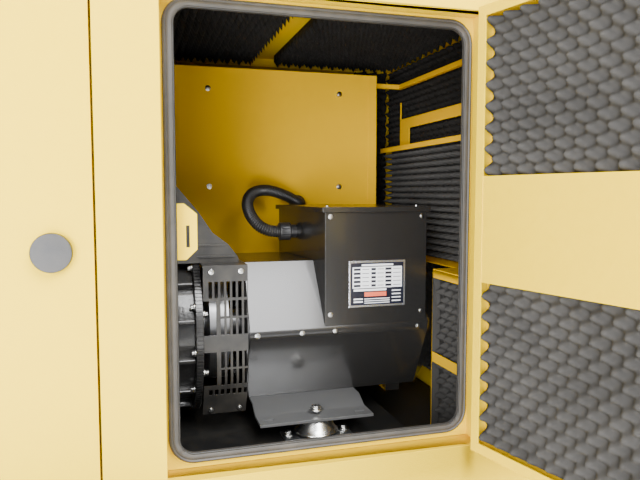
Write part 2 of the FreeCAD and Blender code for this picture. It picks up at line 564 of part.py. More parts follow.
def rear_door():
    """The alternator door, hung on the rear post and swung out, with its foam and its latch."""
    hinge = ("hinge_x", "hinge_y", "door_angle")
    x = ("0 - reach", "0 - 5 - door_gap")
    z = ("door_low", "door_high")
    panel = tray_door(x, z, -1, -1)
    zone = ("hinge_out", "hinge_out + door_thick")
    bar = block((f"{x[0]} + door_margin", f"{x[1]} - door_margin"), ("hinge_out + sheet", f"{zone[1]} - 1"),
                ("991", "1180"))
    hole = rod("y", f"{x[0]} + 60", "hinge_out - 20", "latch_z", 9.5, 80)
    knuckles = [door_hinge(spot, -1, -1) for spot in ("door_bottom + 90", "door_top - 90 - hinge_length")]
    node("rear_door", cut(panel, hole), cut(bar, hole), *knuckles, hinge=hinge)
    foam_x = (f"{x[0]} + door_margin + 1", f"{x[1]} - door_margin - 1")
    foam_y = ("hinge_out + sheet + 0.3", "hinge_out + sheet + foam_depth + 6")
    node("rear_door_foam", block(foam_x, foam_y, ("door_low + door_margin + 2", "990")),
         block(foam_x, foam_y, ("1181", "door_high - door_margin - 2")), hinge=hinge)
    centre = f"{x[0]} + 60"
    dish = rod("y", centre, "hinge_out - latch_depth - 0.3", "latch_z", "latch_radius", "latch_depth")
    behind = "hinge_out + tray_depth + sheet + 0.6"
    spindle = rod("y", centre, "hinge_out - latch_depth", "latch_z", 9, f"{behind} + 5 - hinge_out + latch_depth")
    cam = block((f"{centre} - 9", f"{centre} + 9"), (behind, f"{behind} + 5"), ("latch_z - 9", "latch_z + 50"))
    node("rear_door_latch", fuse(dish, spindle, cam), hinge=hinge)


def front_door():
    """The engine door, hung on the front post and shut, with its latch."""
    x = ("bay_left + door_gap", "bay_right - door_gap")
    z = ("door_low", "door_high")
    hole = rod("y", f"{x[1]} - 60", "near_skin - 20", "latch_z", 9.5, 80)
    panel = cut(tray_door(x, z, 1, -1, "0", "hinge_y"), hole)
    knuckles = [door_hinge(spot, 1, -1, "bay_hinge_x", "hinge_y")
                for spot in ("door_bottom + 90", "door_top - 90 - hinge_length")]
    node("front_door", panel, *knuckles)
    dish = rod("y", f"{x[1]} - 60", "near_skin - latch_depth - 0.3", "latch_z", "latch_radius", "latch_depth")
    spindle = rod("y", f"{x[1]} - 60", "near_skin - latch_depth", "latch_z", 9, "latch_depth + door_thick + 8")
    node("front_door_latch", fuse(dish, spindle))


def control_door():
    """The far-side door over the instruments, shut; the power outlets below it stay in reach."""
    x = ("door_left + door_gap", "door_right - door_gap")
    z = ("hatch_bottom + door_gap", "door_high")
    panel = tray_door(x, z, 1, 1, "0", "far_hinge_y")
    knuckles = [door_hinge(spot, 1, 1, "control_hinge_x", "far_hinge_y")
                for spot in ("hatch_bottom + 50", "door_top - 50 - hinge_length")]
    node("control_door", panel, *knuckles)


def door_seals():
    """A rounded rubber ring on each door flange."""
    pieces = []
    near_face = ("near_floor - seal_thick", "near_floor")
    far_face = ("far_floor", "far_floor + seal_thick")
    for left, right, low, y in (("door_left", "door_right", "door_bottom", near_face),
                                ("bay_left", "bay_right", "door_bottom", near_face),
                                ("door_left", "door_right", "hatch_bottom", far_face)):
        x = (f"{left} + seal_inset", f"{right} - seal_inset - 1")
        z = (f"{low} + seal_inset + 6", "door_top - seal_inset - 2")
        inner = "seal_radius - seal_width"
        hole = rounded((f"{x[0]} + seal_width", f"{x[1]} - seal_width"), (f"{y[0]} - 5", f"{y[1]} + 5"),
                       (f"{z[0]} + seal_width", f"{z[1]} - seal_width"), inner)
        pieces.append(cut(rounded(x, y, z, "seal_radius"), hole))
    return node("door_seals", *pieces)


def roof():
    """A shallow cap over both sides, with holes for the exhaust and the lifting eye."""
    cap = shell(("front_end", "rear_end"), ("near_skin", "far_skin"), ("eaves_height", "roof_top"), "sheet", "z-")
    eye = block(("column_left - 60", "column_left + column_width + 60"), ("0 - eye_plate / 2 - 4", "eye_plate / 2 + 4"),
                ("eaves_height", "roof_top + 20"))
    stack = rod("z", "stack_x", "stack_y", "eaves_height", "stack_radius + 3", 100)
    return node("roof", cut(cap, eye, stack))


def end_panels():
    """Trays that close the two ends, each with an air opening and blades across it."""
    y = ("near_floor", "far_floor")
    z = ("skirt_height", "eaves_height")
    rear = shell(("inner_rear", "rear_end"), y, z, "sheet", "x-")
    front = shell(("front_end", "inner_front"), y, z, "sheet", "x+")
    blades = {"rear": [], "front": []}
    openings = {"rear": ("600", "900"), "front": ("660", "1300")}
    for name, skin in (("rear", "rear_end"), ("front", "front_end")):
        low, high = openings[name]
        count = 7 if name == "rear" else 15
        for step in range(count):
            base = f"{low} + ({high} - {low}) * {step} / {count}"
            inside = f"{skin} - 18" if name == "rear" else f"{skin} + 18"
            outline = [(inside, f"{base} + 22"), (skin, f"{base} + 2"), (skin, f"{base} + 5"), (inside, f"{base} + 25")]
            blades[name].append(prism("y", outline, -350, 350, "Blade"))
    hole_rear = block(("rear_end - 10", "rear_end + 10"), (-350, 350), openings["rear"])
    hole_front = block(("front_end - 10", "front_end + 10"), (-350, 350), openings["front"])
    node("rear_end_panel", cut(rear, hole_rear), *blades["rear"])
    node("front_end_panel", cut(front, hole_front), *blades["front"])


def outlet_box():
    """The sheet-metal end wall and the box below it that leads cooling air out."""
    y = ("near_floor + sheet", "far_floor - sheet")
    back = ("foam_wall + foam_thick - sheet", "foam_wall + foam_thick")
    wall = block(back, y, ("ledge_height", "eaves_height - 4"))
    shelf_x = ("ledge_front", "foam_wall + foam_thick - sheet")
    through = ("ledge_height - 9", "ledge_height + 5")
    shelf = cut(block(shelf_x, y, ("ledge_height - sheet", "ledge_height")),
                block(("ledge_front - 5", "throat_front"), ("0 - throat_half", "throat_half"), through),
                block(("ledge_front - 5", "far_wing"), ("throat_half - 5", "far_floor"), through))
    pieces = [wall, shelf]
    for sign, front in ((-1, "ledge_front"), (1, "far_wing")):
        wing = across(sign, "throat_half", "far_floor - sheet")
        lip = ("ledge_height - ledge_lip", "ledge_height - sheet")
        pieces.append(block((front, f"{front} + sheet"), wing, lip))
        pieces.append(block((front, f"{front} + sheet"), wing, ("bar_low", "bar_low + bar_height")))
        pieces.append(block((front, f"{front} + 30"), wing, ("floor_height", "floor_height + 12")))
        cheek = across(sign, "throat_half - sheet", "throat_half")
        pieces.append(block((front, "throat_front"), cheek, ("floor_height", "ledge_height - sheet")))
        side = across(sign, "far_floor - 2 * sheet", "far_floor - sheet")
        pieces.append(block((f"{front} + 40", "foam_wall + foam_thick - sheet"), side, ("floor_height", "ledge_height - sheet")))
    step_y = ("near_floor + 10", "step_far")
    top = "lower_bar + lower_bar_height"
    pieces.append(fuse(block(("step_front - sheet", "step_front"), step_y, ("lower_bar", top)),
                       block(("step_front - 1", "foam_wall + foam_thick - sheet"), step_y, (f"{top} - sheet", top))))
    bar_x = ("foam_wall - sheet", "foam_wall")
    pieces.append(fuse(block(bar_x, ("near_floor + 10", "post_outer"), ("upper_bar", "upper_bar + upper_bar_height")),
                       block(bar_x, ("post_inner", "post_outer"), (top, "upper_bar + 1")),
                       block(bar_x, ("post_outer - 6", "post_outer"), ("upper_bar", "upper_bar + 85"))))
    rail = ("rail_low", "rail_low + rail_size")
    pieces.append(fuse(block(("foam_wall - rail_size", "foam_wall"), ("near_floor + 4", "post_outer"), rail),
                       block(("control_right", "foam_wall - 1"), ("post_outer - rail_size", "post_outer"), rail)))
    return node("outlet_box", *pieces)


def control_compartment():
    """A sheet-metal box open to the far side, with its outward flange along one edge."""
    x = ("control_left", "control_right")
    y = ("control_near", "far_floor - sheet")
    z = ("control_bottom", "control_top")
    legs = [block((spot, f"{spot} + 40"), ("control_near + 20", "deck_half - 4"), ("deck_height", "control_bottom"))
            for spot in ("control_left", "deck_rear - 40")]
    entry = rod("y", "gland_x", "control_near - 5", "gland_z", 17, 20)
    back, *walls = plates(x, y, z, "sheet")
    legs.append(block(("control_right - 27", "control_right"), ("control_near - 1.5", "control_near"), z))
    return node("control_compartment", cut(back, entry), *walls, *legs)


def acoustic_foam():
    """Plain slabs for the egg-crate foam on the ceiling, the end wall and the outlet box."""
    ceiling = ("roof_under - foam_thick", "roof_under - 0.6")
    inner_y = ("near_floor + 10", "far_floor - 10")
    lift = "column_left + column_width + 6"
    pieces = [block((lift, "strap_left"), inner_y, ceiling), block(("strap_right", "inner_rear - 24"), inner_y, ceiling),
              block(("front_end + 180", "column_left - 66"), ("near_floor + 10", "150"), ceiling)]
    face = ("foam_wall + 0.3", "foam_wall + foam_thick - sheet - 0.3")
    wall_y = ("near_floor + sheet + 5", "far_floor - sheet - 5")
    under = "roof_under - foam_thick - 0.5"
    pieces.append(block(face, wall_y, ("lower_bar + lower_bar_height + 0.4", under)))
    pieces.append(block(("step_front + 0.3", face[1]), (wall_y[0], "step_far"), ("ledge_height + 0.5", "lower_bar + 11.5")))
    pieces.append(block(("control_right + 5", "foam_wall"), ("far_floor - 46", "far_floor - sheet - 0.5"),
                        ("ledge_height + 0.5", under)))
    for sign, front in ((-1, "ledge_front"), (1, "far_wing")):
        wing = across(sign, "throat_half + 0.5", "far_floor - 2 * sheet - 0.5")
        pieces.append(block((f"{front} + sheet + 0.3", f"{front} + 38"), wing,
                            ("floor_height + 13", "ledge_height - sheet - 0.5")))
    return node("acoustic_foam", *pieces)


def lifting_frame():
    """A column and a beam over the control compartment, with the eye standing through the roof."""
    x = ("column_left", "column_left + column_width")
    column = shell(x, ("0.5 - column_out", "column_width - column_out"), ("deck_height", "control_top"), 4, "z+ z-")
    beam = shell(x, ("0.5 - column_out", "column_out - 0.5"), ("control_top", "roof_under - 0.3"), 4, "y+ y-")
    eye = prism("y", [("column_left - 50", "roof_under - 0.3"), ("column_left + column_width + 50", "roof_under - 0.3"),
                      ("column_left + column_width / 2 + 48", "eye_height + 42"),
                      ("column_left + column_width / 2 - 48", "eye_height + 42")],
                "0 - eye_plate / 2", "eye_plate / 2", "Eye")
    hole = rod("y", "column_left + column_width / 2", -30, "eye_height", "eye_radius", 60)
    return node("lifting_frame", column, beam, cut(eye, hole))


def rear_lamps():
    """Combination lamps on the rear end."""
    return node("rear_lamps", *[block(("rear_end", "lamp_rear"), across(sign, 330, 450), ("500", "580"))
                                for sign in (-1, 1)])


# ---------------------------------------------------------------- alternator
def octagon(grow):
    """The alternator casing's cross-section, grown outwards by an offset."""
    wide = f"(casing_half + {grow})"
    flat = f"(casing_flat + {grow} * 0.5)"
    right = [(wide, "seam_low"), (wide, "seam_high"), (flat, f"casing_top + {grow}")]
    left = [(f"0 - {flat}", f"casing_top + {grow}"), (f"0 - {wide}", "seam_high"), (f"0 - {wide}", "seam_low")]
    return right + left + [(f"0 - {flat}", f"casing_bottom - {grow}"), (flat, f"casing_bottom - {grow}")]


def alternator():
    """An eight-sided sheet casing over the stator, with a tapered end cover that holds the bearing."""
    x = ("casing_front", "casing_rear")
    outer = prism("x", octagon("0"), *x, "Casing")
    hollow = prism("x", octagon("(0 - casing_wall)"), "casing_front - 1", "casing_rear + 1", "Hollow")
    plate = prism("x", octagon("(0 - casing_wall)"), "casing_front", "casing_front + 12", "FrontPlate")
    eye = rod("x", "casing_front - 5", 0, "axis_z", "bore_radius", 40)
    node("alternator_casing", cut(outer, hollow), cut(plate, eye))
    core = common(rod("x", "casing_front + 90", 0, "axis_z", "casing_half - 20", 260),
                  prism("x", octagon("(0 - casing_wall)"), "casing_front + 60", "casing_rear - 20", "Inside"))
    node("alternator_stator", cut(core, rod("x", "casing_front", 0, "axis_z", "bore_radius", 500)))
    sections = []
    for place, scale in (("casing_rear", "1"), ("casing_rear + end_cover", "end_taper")):
        points = [(f"({across_}) * {scale}", f"axis_z + (({up}) - axis_z) * {scale}") for across_, up in octagon("0")]
        body, sketch = sketched("YZ_Plane", points, "CoverSection")
        sketch.AttachmentOffset = FreeCAD.Placement()
        bind(sketch, AttachmentOffset__Base__z=place)
        sections.append((body, sketch))
    body, first = sections[0]
    loft = body.newObject("PartDesign::AdditiveLoft", "CoverLoft")
    loft.Profile = first
    sections[1][0].removeObject(sections[1][1])
    body.addObject(sections[1][1])
    support = [item for item in body.Origin.OriginFeatures if item.Role == "YZ_Plane"][0]
    sections[1][1].AttachmentSupport = [(support, "")]
    doc.removeObject(sections[1][0].Name)
    loft.Sections = [sections[1][1]]
    loft.Ruled = True
    body.Tip = loft
    hub = rod("x", "casing_rear - 5", 0, "axis_z", "shaft_radius + 0.4", "end_cover - 15")
    space = cone("x", "casing_rear - 5", 0, "axis_z", "casing_half - 45", "casing_half * end_taper - 25", "end_cover - 30")
    node("alternator_end_cover", cut(body, hub, space))


def terminal_box():
    """A sheet-metal box that saddles the casing, its lid and the blank rating plate."""
    half = "casing_half"
    low = "seam_high + 0.5"
    outline = [("box_front", f"0 - {half}"), ("box_rear", f"0 - {half}"), ("box_rear", "box_back"), ("box_far", "box_back")]
    inner = [("box_front + sheet", f"sheet - {half}"), ("box_rear - sheet", f"sheet - {half}"),
             ("box_rear - sheet", "box_back - sheet"), ("box_far + sheet", "box_back - sheet")]
    walls = cut(prism("z", outline, low, "box_top", "BoxWalls"), prism("z", inner, "seam_low", "box_top + 1", "BoxSpace"))
    entry = rod("x", "box_front - 60", "20", "1052", 17, 90)
    node("terminal_box", cut(walls, prism("x", octagon("0.5"), "casing_front", "casing_rear + 5", "Saddle"), entry))
    node("terminal_box_lid", lid_on(half))
    node("rating_plate", block(("plate_left", "plate_right"), (f"0 - {half} - 1", f"0 - {half}"),
                               ("plate_low", "plate_high")))


def lid_on(half):
    """The lid: a flat plate on the box with a lip turned down outside it."""
    outline = [("box_front - lid_lip", f"0 - {half} - lid_lip"), ("box_rear + lid_lip", f"0 - {half} - lid_lip"),
               ("box_rear + lid_lip", "box_back + lid_lip"), ("box_far - lid_lip", "box_back + lid_lip")]
    return prism("z", outline, "box_top", "box_top + lid_height", "Lid")


def fan_guard():
    """Slotted guards on both sides between the casing and the flywheel housing, joined over the top."""
    pieces = []
    x = ("guard_front", "guard_rear")
    for sign in (-1, 1):
        face = f"{sign} * guard_face"
        inner = f"{sign} * (guard_face - sheet)"
        toe = f"{sign} * (guard_face - 45)"
        toe_in = f"{sign} * (guard_face - sheet - 45)"
        outline = [(face, "735"), (face, "casing_top + sheet"), (f"{sign} * 60", "casing_top + sheet"),
                   (f"{sign} * 60", "casing_top"), (inner, "casing_top"), (inner, "736"),
                   (toe_in, "guard_bottom"), (toe, "guard_bottom")]
        plate = prism("x", outline, *x, "GuardPlate")
        y = across(sign, "guard_face - 60", "guard_face + 20")
        slots = [block(("guard_front - 5", "guard_front + 28"), y, window) for window in (("839", "915"), ("725", "801"))]
        for column in range(7):
            left = f"guard_front + 11.7 + {12.93 * column:.2f}"
            rows = [("921", "957"), ("700", "714")]
            if column > 1:
                rows += [("880", "915"), ("839", "875"), ("765", "801"), ("725", "761")]
            slots += [block((left, f"{left} + 7.8"), y, row) for row in rows]
        pieces.append(cut(plate, *slots))
    pieces.append(coupling_hood())
    return node("fan_guard", *pieces)


def coupling_hood():
    """The sloping sheet hood that rises from the near guard towards the engine, with two folded ribs."""
    base = "casing_top + sheet"
    line = [("guard_front - 2", 115), ("guard_front + 29", 68), ("guard_front + 64", 41), ("guard_front + 86", 12)]
    outer = [("bell_front + 60", base), ("bell_front + 60", f"{base} + 192"), ("guard_front - 65", f"{base} + 192")]
    outer += [(x, f"{base} + {rise}") for x, rise in line] + [("guard_front + 88", base)]
    inner = [("bell_front + 57", f"{base} - 10"), ("bell_front + 57", f"{base} + 189"), ("guard_front - 66.5", f"{base} + 189")]
    inner += [(f"{x} - 2.4", f"{base} + {rise - 2.2}") for x, rise in line] + [("guard_front + 85", f"{base} - 10")]
    near = "0 - guard_face + 57"
    hood = cut(prism("y", outer, near, "0 - 60", "Hood"), prism("y", inner, f"{near} + sheet", "0 - 50", "HoodSpace"))
    ribs = [block(("bell_rear + 10", reach), (f"{near} - 4", f"{near} + 1"), (f"{base} + {rise}", f"{base} + {rise + 4}"))
            for reach, rise in (("guard_front + 57", 38), ("guard_front + 78", 12))]
    return fuse(hood, *ribs)


def feet_and_mounts():
    """The alternator's feet with the flanges on the rear mounts, and four anti-vibration mounts."""
    feet = []
    for sign in (-1, 1):
        web = "mount_y - 19"
        outline = [("foot_out", "mount_top"), (f"{web} - 4", "mount_top"), (f"{web} - 39", "casing_bottom - foot_plate"),
                   ("casing_flat - 50", "casing_bottom - foot_plate"), ("casing_flat - 50", "casing_bottom"),
                   (f"{web} - 36", "casing_bottom"), (web, "mount_top + foot_plate"), ("foot_out", "mount_top + foot_plate")]
        bracket = prism("x", [(f"{sign} * ({y})", z) for y, z in outline], "foot_left", "foot_right", "Foot")
        slots = [block((spot, f"{spot} + 24"), across(sign, "foot_out - 30", "foot_out - 21"), ("mount_top - 5", "mount_top + 20"))
                 for spot in ("foot_left + 12", "foot_right - 36")]
        bolt = rod("z", "mount_rear", f"{sign} * mount_y", "mount_top - 10", 8.5, 40)
        feet.append(cut(bracket, bolt, *slots))
    node("alternator_feet", *feet)
    mounts = []
    for x in ("mount_rear", "mount_front"):
        for sign in (-1, 1):
            y = f"{sign} * mount_y"
            base = block((f"{x} - mount_base / 2", f"{x} + mount_base / 2"), (f"{y} - 30", f"{y} + 30"),
                         ("deck_height", "deck_height + 5"))
            dome = cone("z", x, y, "deck_height + 4", "mount_radius", "mount_radius * 0.62", "mount_height - 4")
            bolt = rod("z", x, y, "mount_top - 5", 8, 30)
            nut = rod("z", x, y, "mount_top + foot_plate", 14, 12)
            mounts.append(fuse(base, dome, bolt, nut))
    node("vibration_mounts", *mounts)


# ---------------------------------------------------------------- cable conduit
def conduit():
    """Corrugated conduit from the terminal box to the control compartment, round one big loop."""
    nut_x = sheet.get("box_front") - 62
    nut_y = sheet.get("nut_y")
    nut_z = sheet.get("nut_z")
    gland_x = sheet.get("gland_x")
    gland_y = sheet.get("control_near") - 13
    gland_z = sheet.get("gland_z")
    radius = sheet.get("conduit_radius")
    corners = [(nut_x, nut_y, nut_z), (nut_x - 34, nut_y, nut_z), (nut_x - 66, nut_y + 26, nut_z + 32),
               (nut_x - 72, nut_y + 72, nut_z + 74), (nut_x - 46, nut_y + 114, nut_z + 102),
               (nut_x, nut_y + 140, nut_z + 108), (nut_x + 50, nut_y + 156, nut_z + 94),
               (gland_x - 15, gland_y - 44, gland_z + 6), (gland_x, gland_y - 26, gland_z), (gland_x, gland_y, gland_z)]
    route = [FreeCAD.Vector(*corner) for corner in corners]
    thing = doc.addObject("Part::Feature", "Conduit")
    shape, length = swept(route, radius)
    thing.Shape = shape
    print("conduit volume over section times length:", round(shape.Volume / (math.pi * radius ** 2 * length), 4))
    node("cable_conduit", thing)
    start = "box_front - 62"
    nut = cut(fuse(rod("x", start, "nut_y", "nut_z", 24, 26), rod("x", f"{start} + 26", "nut_y", "nut_z", 17, 30)),
              rod("x", f"{start} - 1", "nut_y", "nut_z", 12, 80))
    gland = fuse(rod("y", "gland_x", "control_near - 13", "gland_z", 24, 13),
                 rod("y", "gland_x", "control_near - 13", "gland_z", 15, 30))
    node("conduit_glands", nut, gland)


def swept(route, radius):
    """A round section along straight runs joined by tangent arcs, and the length of the path."""
    edges = []
    last = route[0]
    length = 0
    for before, corner, after in zip(route, route[1:], route[2:]):
        incoming = corner - before
        outgoing = after - corner
        turn = incoming.getAngle(outgoing)
        bend = 0.45 * min(incoming.Length, outgoing.Length) / math.tan(turn / 2)
        print("conduit bend radius:", round(bend, 1))
        back = bend * math.tan(turn / 2)
        first = corner - incoming.normalize() * back
        second = corner + outgoing.normalize() * back
        inward = (outgoing - incoming).normalize()
        middle = corner + inward * (bend / math.cos(turn / 2) - bend)
        edges.append(Part.LineSegment(last, first).toShape())
        edges.append(Part.Arc(first, middle, second).toShape())
        length += (first - last).Length + bend * turn
        last = second
    edges.append(Part.LineSegment(last, route[-1]).toShape())
    length += (route[-1] - last).Length
    path = Part.Wire(edges)
    section = Part.Wire(Part.Circle(route[0], route[1] - route[0], radius).toShape())
    return path.makePipeShell([section], True, True), length


# ---------------------------------------------------------------- engine
def engine():
    """A three-cylinder block with sump and feet, the head, the housing for the flywheel and the starter."""
    y = ("0 - block_half", "block_half")
    block_x = ("block_front", "bell_front")
    body = block(block_x, y, ("block_bottom", "block_top"))
    cuts = [rod("z", f"block_front + 95 + {step} * cylinder_pitch", 0, "axis_z + 40", "cylinder_bore", 300) for step in range(3)]
    cuts.append(block(("block_front + 15", "bell_front - 15"), ("20 - block_half", "block_half - 20"),
                      ("block_bottom - 1", "axis_z + 60")))
    cuts.append(rod("x", "block_front - 5", 0, "axis_z", "shaft_radius + 0.4", "bell_front - block_front + 10"))
    sump = shell(("block_front + 10", "bell_front - 60"), ("25 - block_half", "block_half - 25"),
                 ("sump_bottom", "block_bottom"), 4, "z+")
    boss = rod("x", "block_front - 11.7", 0, "fan_z", 28, 11.7)
    pieces = [cut(body, *cuts), sump, boss]
    for sign in (-1, 1):
        plate = block(("mount_front - 70", "mount_front + 70"), across(sign, "block_half", "foot_out"),
                      ("mount_top", "mount_top + foot_plate"))
        web = block(("mount_front - 70", "mount_front + 70"), across(sign, "block_half", "block_half + 12"),
                    ("mount_top", "block_bottom + 80"))
        bolt = rod("z", "mount_front", f"{sign} * mount_y", "mount_top - 10", 8.5, 40)
        pieces.append(cut(fuse(plate, web), bolt))
    node("engine_block", *pieces)
    head = block(("block_front + 10", "bell_front - 10"), ("30 - block_half", "block_half - 30"), ("block_top", "head_top"))
    cover = block(("block_front + 65", "bell_front - 30"), ("60 - block_half", "block_half - 60"), ("head_top", "cover_top"))
    node("cylinder_head", head, cover)
    bell = turned("x", 0, 0, "axis_z", [
        ("block_half - 20", "bell_front"), ("block_half + 5", "bell_front"), ("flywheel_radius + 18", "bell_front + 70"),
        ("flywheel_radius + 18", "bell_rear"), ("ring_radius", "bell_rear"), ("ring_radius", "bell_rear + ring_width"),
        ("flywheel_radius + 6", "bell_rear + ring_width"), ("flywheel_radius + 6", "bell_front + 72"),
        ("block_half - 20", "bell_front + 12")], "Bell")
    node("flywheel_housing", bell)


def engine_auxiliaries():
    """Starter motor, charging alternator and air cleaner, each on its own bracket."""
    starter = fuse(rod("x", "block_front + 330", "0 - block_half - 52", "axis_z - 40", 42, 200),
                   rod("x", "block_front + 400", "0 - block_half - 58", "axis_z + 28", 26, 120),
                   block(("block_front + 350", "block_front + 500"), ("0 - block_half - 50", "0 - block_half"),
                         ("axis_z - 70", "axis_z - 10")))
    charger = fuse(rod("x", "block_front + 20", "block_half + 75", "axis_z + 40", 62, 130),
                   block(("block_front + 40", "block_front + 120"), ("block_half", "block_half + 40"),
                         ("axis_z + 20", "axis_z + 60")))
    cleaner = fuse(rod("x", "block_front + 150", "0 - block_half - 90", "head_top + 120", 85, 320),
                   block(("block_front + 200", "block_front + 260"), ("0 - block_half - 90", "30 - block_half"),
                         ("head_top - 40", "head_top + 60")))
    return node("engine_auxiliaries", starter, charger, cleaner)


def rotating_set():
    """The shaft line with the flywheel, the alternator's rotor and its fan, and the cooling fan."""
    shaft = rod("x", "block_front - 25", 0, "axis_z", "shaft_radius", "casing_rear + end_cover - 30 - block_front")
    wheel = rod("x", "bell_front + 85", 0, "axis_z", "flywheel_radius", 60)
    fan = rod("x", "guard_front + 20", 0, "axis_z", "rotor_radius + 30", 45)
    rotor = rod("x", "casing_front + 90", 0, "axis_z", "rotor_radius", 260)
    pulley = rod("x", "block_front - 20", 0, "axis_z", 70, 15)
    node("rotor_shaft", fuse(shaft, wheel, fan, rotor, pulley))
    hub = rod("x", "fan_x", 0, "fan_z", 55, "block_front - fan_x - 12")
    blades = []
    for step in range(8):
        blade = block((0, 40), (-28, 28), (50, "fan_radius"))
        turn = FreeCAD.Rotation(FreeCAD.Vector(1, 0, 0), 45 * step) * FreeCAD.Rotation(FreeCAD.Vector(0, 0, 1), 30)
        holder = group(cut(blade, block((6, 60), (-40, 40), (0, "fan_radius + 5"))))
        holder.Placement = FreeCAD.Placement(FreeCAD.Vector(), turn)
        bind(holder, Placement__Base__x="fan_x + 18", Placement__Base__z="fan_z")
        blades.append(holder)
    node("cooling_fan", fuse(hub, *blades))


def radiator():
    """The core between its tanks on a frame that stands on the deck, with the two coolant hoses."""
    x = ("radiator_front", "radiator_rear")
    y = ("0 - radiator_half", "radiator_half")
    core = block(x, y, ("radiator_bottom + 60", "radiator_top - 60"))
    tanks = [block(x, y, ("radiator_top - 60", "radiator_top")), block(x, y, ("radiator_bottom", "radiator_bottom + 60"))]
    legs = [block(x, across(sign, "radiator_half - 60", "radiator_half"), ("deck_height", "radiator_bottom")) for sign in (-1, 1)]
    upper = rod("x", "radiator_rear", 90, "head_top + 125", 22, "block_front + 35 - radiator_rear")
    neck = rod("z", "block_front + 35", 90, "head_top", 24, 155)
    return node("radiator", core, *tanks, *legs, fuse(upper, neck))


def exhaust():
    """Manifold, silencer and the stack through the roof."""
    manifold = block(("block_front + 60", "bell_front - 60"), ("block_half - 30", "block_half + 20"), ("block_top + 20", "head_top - 15"))
    down = rod("y", "block_front + 100", "block_half + 20", "block_top + 45", 21, 85)
    silencer = rod("x", "block_front - 130", "block_half + 180", "head_top + 60", 80, 480)
    link = rod("z", "block_front + 100", "block_half + 105", "block_top + 15", 24, "head_top + 60 - block_top - 15")
    pipe = rod("x", "stack_x", "stack_y", "head_top + 60", "stack_radius - 3", "block_front - 100 - stack_x")
    stack = rod("z", "stack_x", "stack_y", "head_top + 10", "stack_radius", "roof_top + 90 - head_top - 10")
    brackets = block(("block_front + 200", "block_front + 230"), ("block_half - 31", "block_half + 180"), ("head_top - 14", "head_top + 10"))
    return node("exhaust_system", manifold, fuse(down, link, silencer, pipe, stack))


def battery():
    """A starter battery on the deck with its two posts."""
    x = ("-260", "40")
    case = block(x, ("-430", "-258"), ("deck_height", "deck_height + 190"))
    posts = [rod("z", spot, "-400", "deck_height + 190", 9, 18) for spot in ("-225", "5")]
    return node("battery", fuse(case, *posts))


# ---------------------------------------------------------------- controls and small parts
def controls():
    """The control panel, its instruments, the socket outlets and the emergency stop."""
    x = ("control_left + sheet", "control_right - sheet")
    z = ("control_bottom + sheet", "control_top - sheet")
    y = ("fascia_y", "fascia_y + sheet")
    hole = rod("y", "stop_x", "fascia_y - 10", "outlet_z", 11, 40)
    panel = cut(block(x, y, z), hole)
    display = block(("300", "480"), ("fascia_y + sheet", "fascia_y + sheet + 18"), ("1240", "1360"))
    breaker = block(("540", "640"), ("fascia_y + sheet", "fascia_y + sheet + 30"), ("1230", "1370"))
    meters = [block((f"{250 + 110 * step}", f"{330 + 110 * step}"), ("fascia_y + sheet", "fascia_y + sheet + 10"),
                    ("1080", "1160")) for step in range(3)]
    node("control_fascia", panel, display, breaker, *meters)
    sockets = []
    for step in range(4):
        x = f"outlet_first + {step} * outlet_pitch"
        base = block((f"{x} - 45", f"{x} + 45"), ("fascia_y + sheet", "fascia_y + sheet + 14"),
                     ("outlet_z - 60", "outlet_z + 60"))
        nose = rod("y", x, "fascia_y + sheet + 10", "outlet_z", "outlet_radius + 8", 34)
        sockets.append(cut(fuse(base, nose), rod("y", x, "fascia_y + sheet + 16", "outlet_z", "outlet_radius", 40)))
    node("socket_outlets", *sockets)
    head = rod("y", "stop_x", "fascia_y + sheet + 12", "outlet_z", "stop_radius", 16)
    stem = rod("y", "stop_x", "fascia_y - 6", "outlet_z", 10, 22)
    node("emergency_stop", fuse(head, stem))


def panel_fasteners():
    """Bolt heads on the control compartment, the terminal box, the lid, the guard and the casing seam."""
    heads = []
    for x in ("bolt_near", "bolt_far"):
        for z in ("bolt_low", "bolt_high"):
            heads.append(rod("y", x, "control_near - 6", z, 8, 6))
    for x, z in (("545", "1096"), ("773", "1096"), ("545", "870"), ("773", "868")):
        heads.append(rod("y", x, "0 - casing_half - 4", z, 6, 4))
    for x in ("375", "478", "557", "766"):
        heads.append(rod("y", x, "0 - casing_half - 5", "(seam_low + seam_high) / 2", 6, 5))
    for x in ("guard_front + 18", "guard_front + 83"):
        heads.append(rod("y", x, "0 - guard_face - 5", "casing_top - 11", 6, 5))
        tilted = rod("z", x, "45 - guard_face - 12 * 45 / 87", "guard_bottom + 12", 6, 5)
        tilted.Placement = FreeCAD.Placement(tilted.Placement.Base, FreeCAD.Rotation(
            FreeCAD.Vector(0, 0, 1), FreeCAD.Vector(0, -87, -45)))
        heads.append(tilted)
    for sign in (-1, 1):
        for z in ("axis_z + 58", "axis_z - 73"):
            heads.append(rod("x", "bell_rear + ring_width", f"{sign} * (guard_face - 6)", z, 8, 12))
    for x in ("box_front + 14", "box_rear - 14"):
        heads.append(rod("z", x, "30 - casing_half", "box_top + lid_height", 5, 3))
    return node("panel_fasteners", *heads)


chassis_frame()
axle()
wheels()
mudguards()
coupling()
handbrake()
jockey()
prop_stands()
base_frame()
fuel_tank()
side_frames()
rear_door()
front_door()
control_door()
door_seals()
roof()
end_panels()
outlet_box()
control_compartment()
acoustic_foam()
lifting_frame()
rear_lamps()
alternator()
terminal_box()
fan_guard()
feet_and_mounts()
conduit()
engine()
engine_auxiliaries()
rotating_set()
radiator()
exhaust()
battery()
controls()
panel_fasteners()

doc.recompute()
for thing in doc.Objects:
    if {"Invalid", "Error"} & set(thing.State):
        raise RuntimeError(f"{thing.Label} has state {thing.State}")
for thing in NODES:
    if thing.Shape.isNull() or not thing.Shape.isValid():
        raise RuntimeError(f"{thing.Label} has no valid shape")

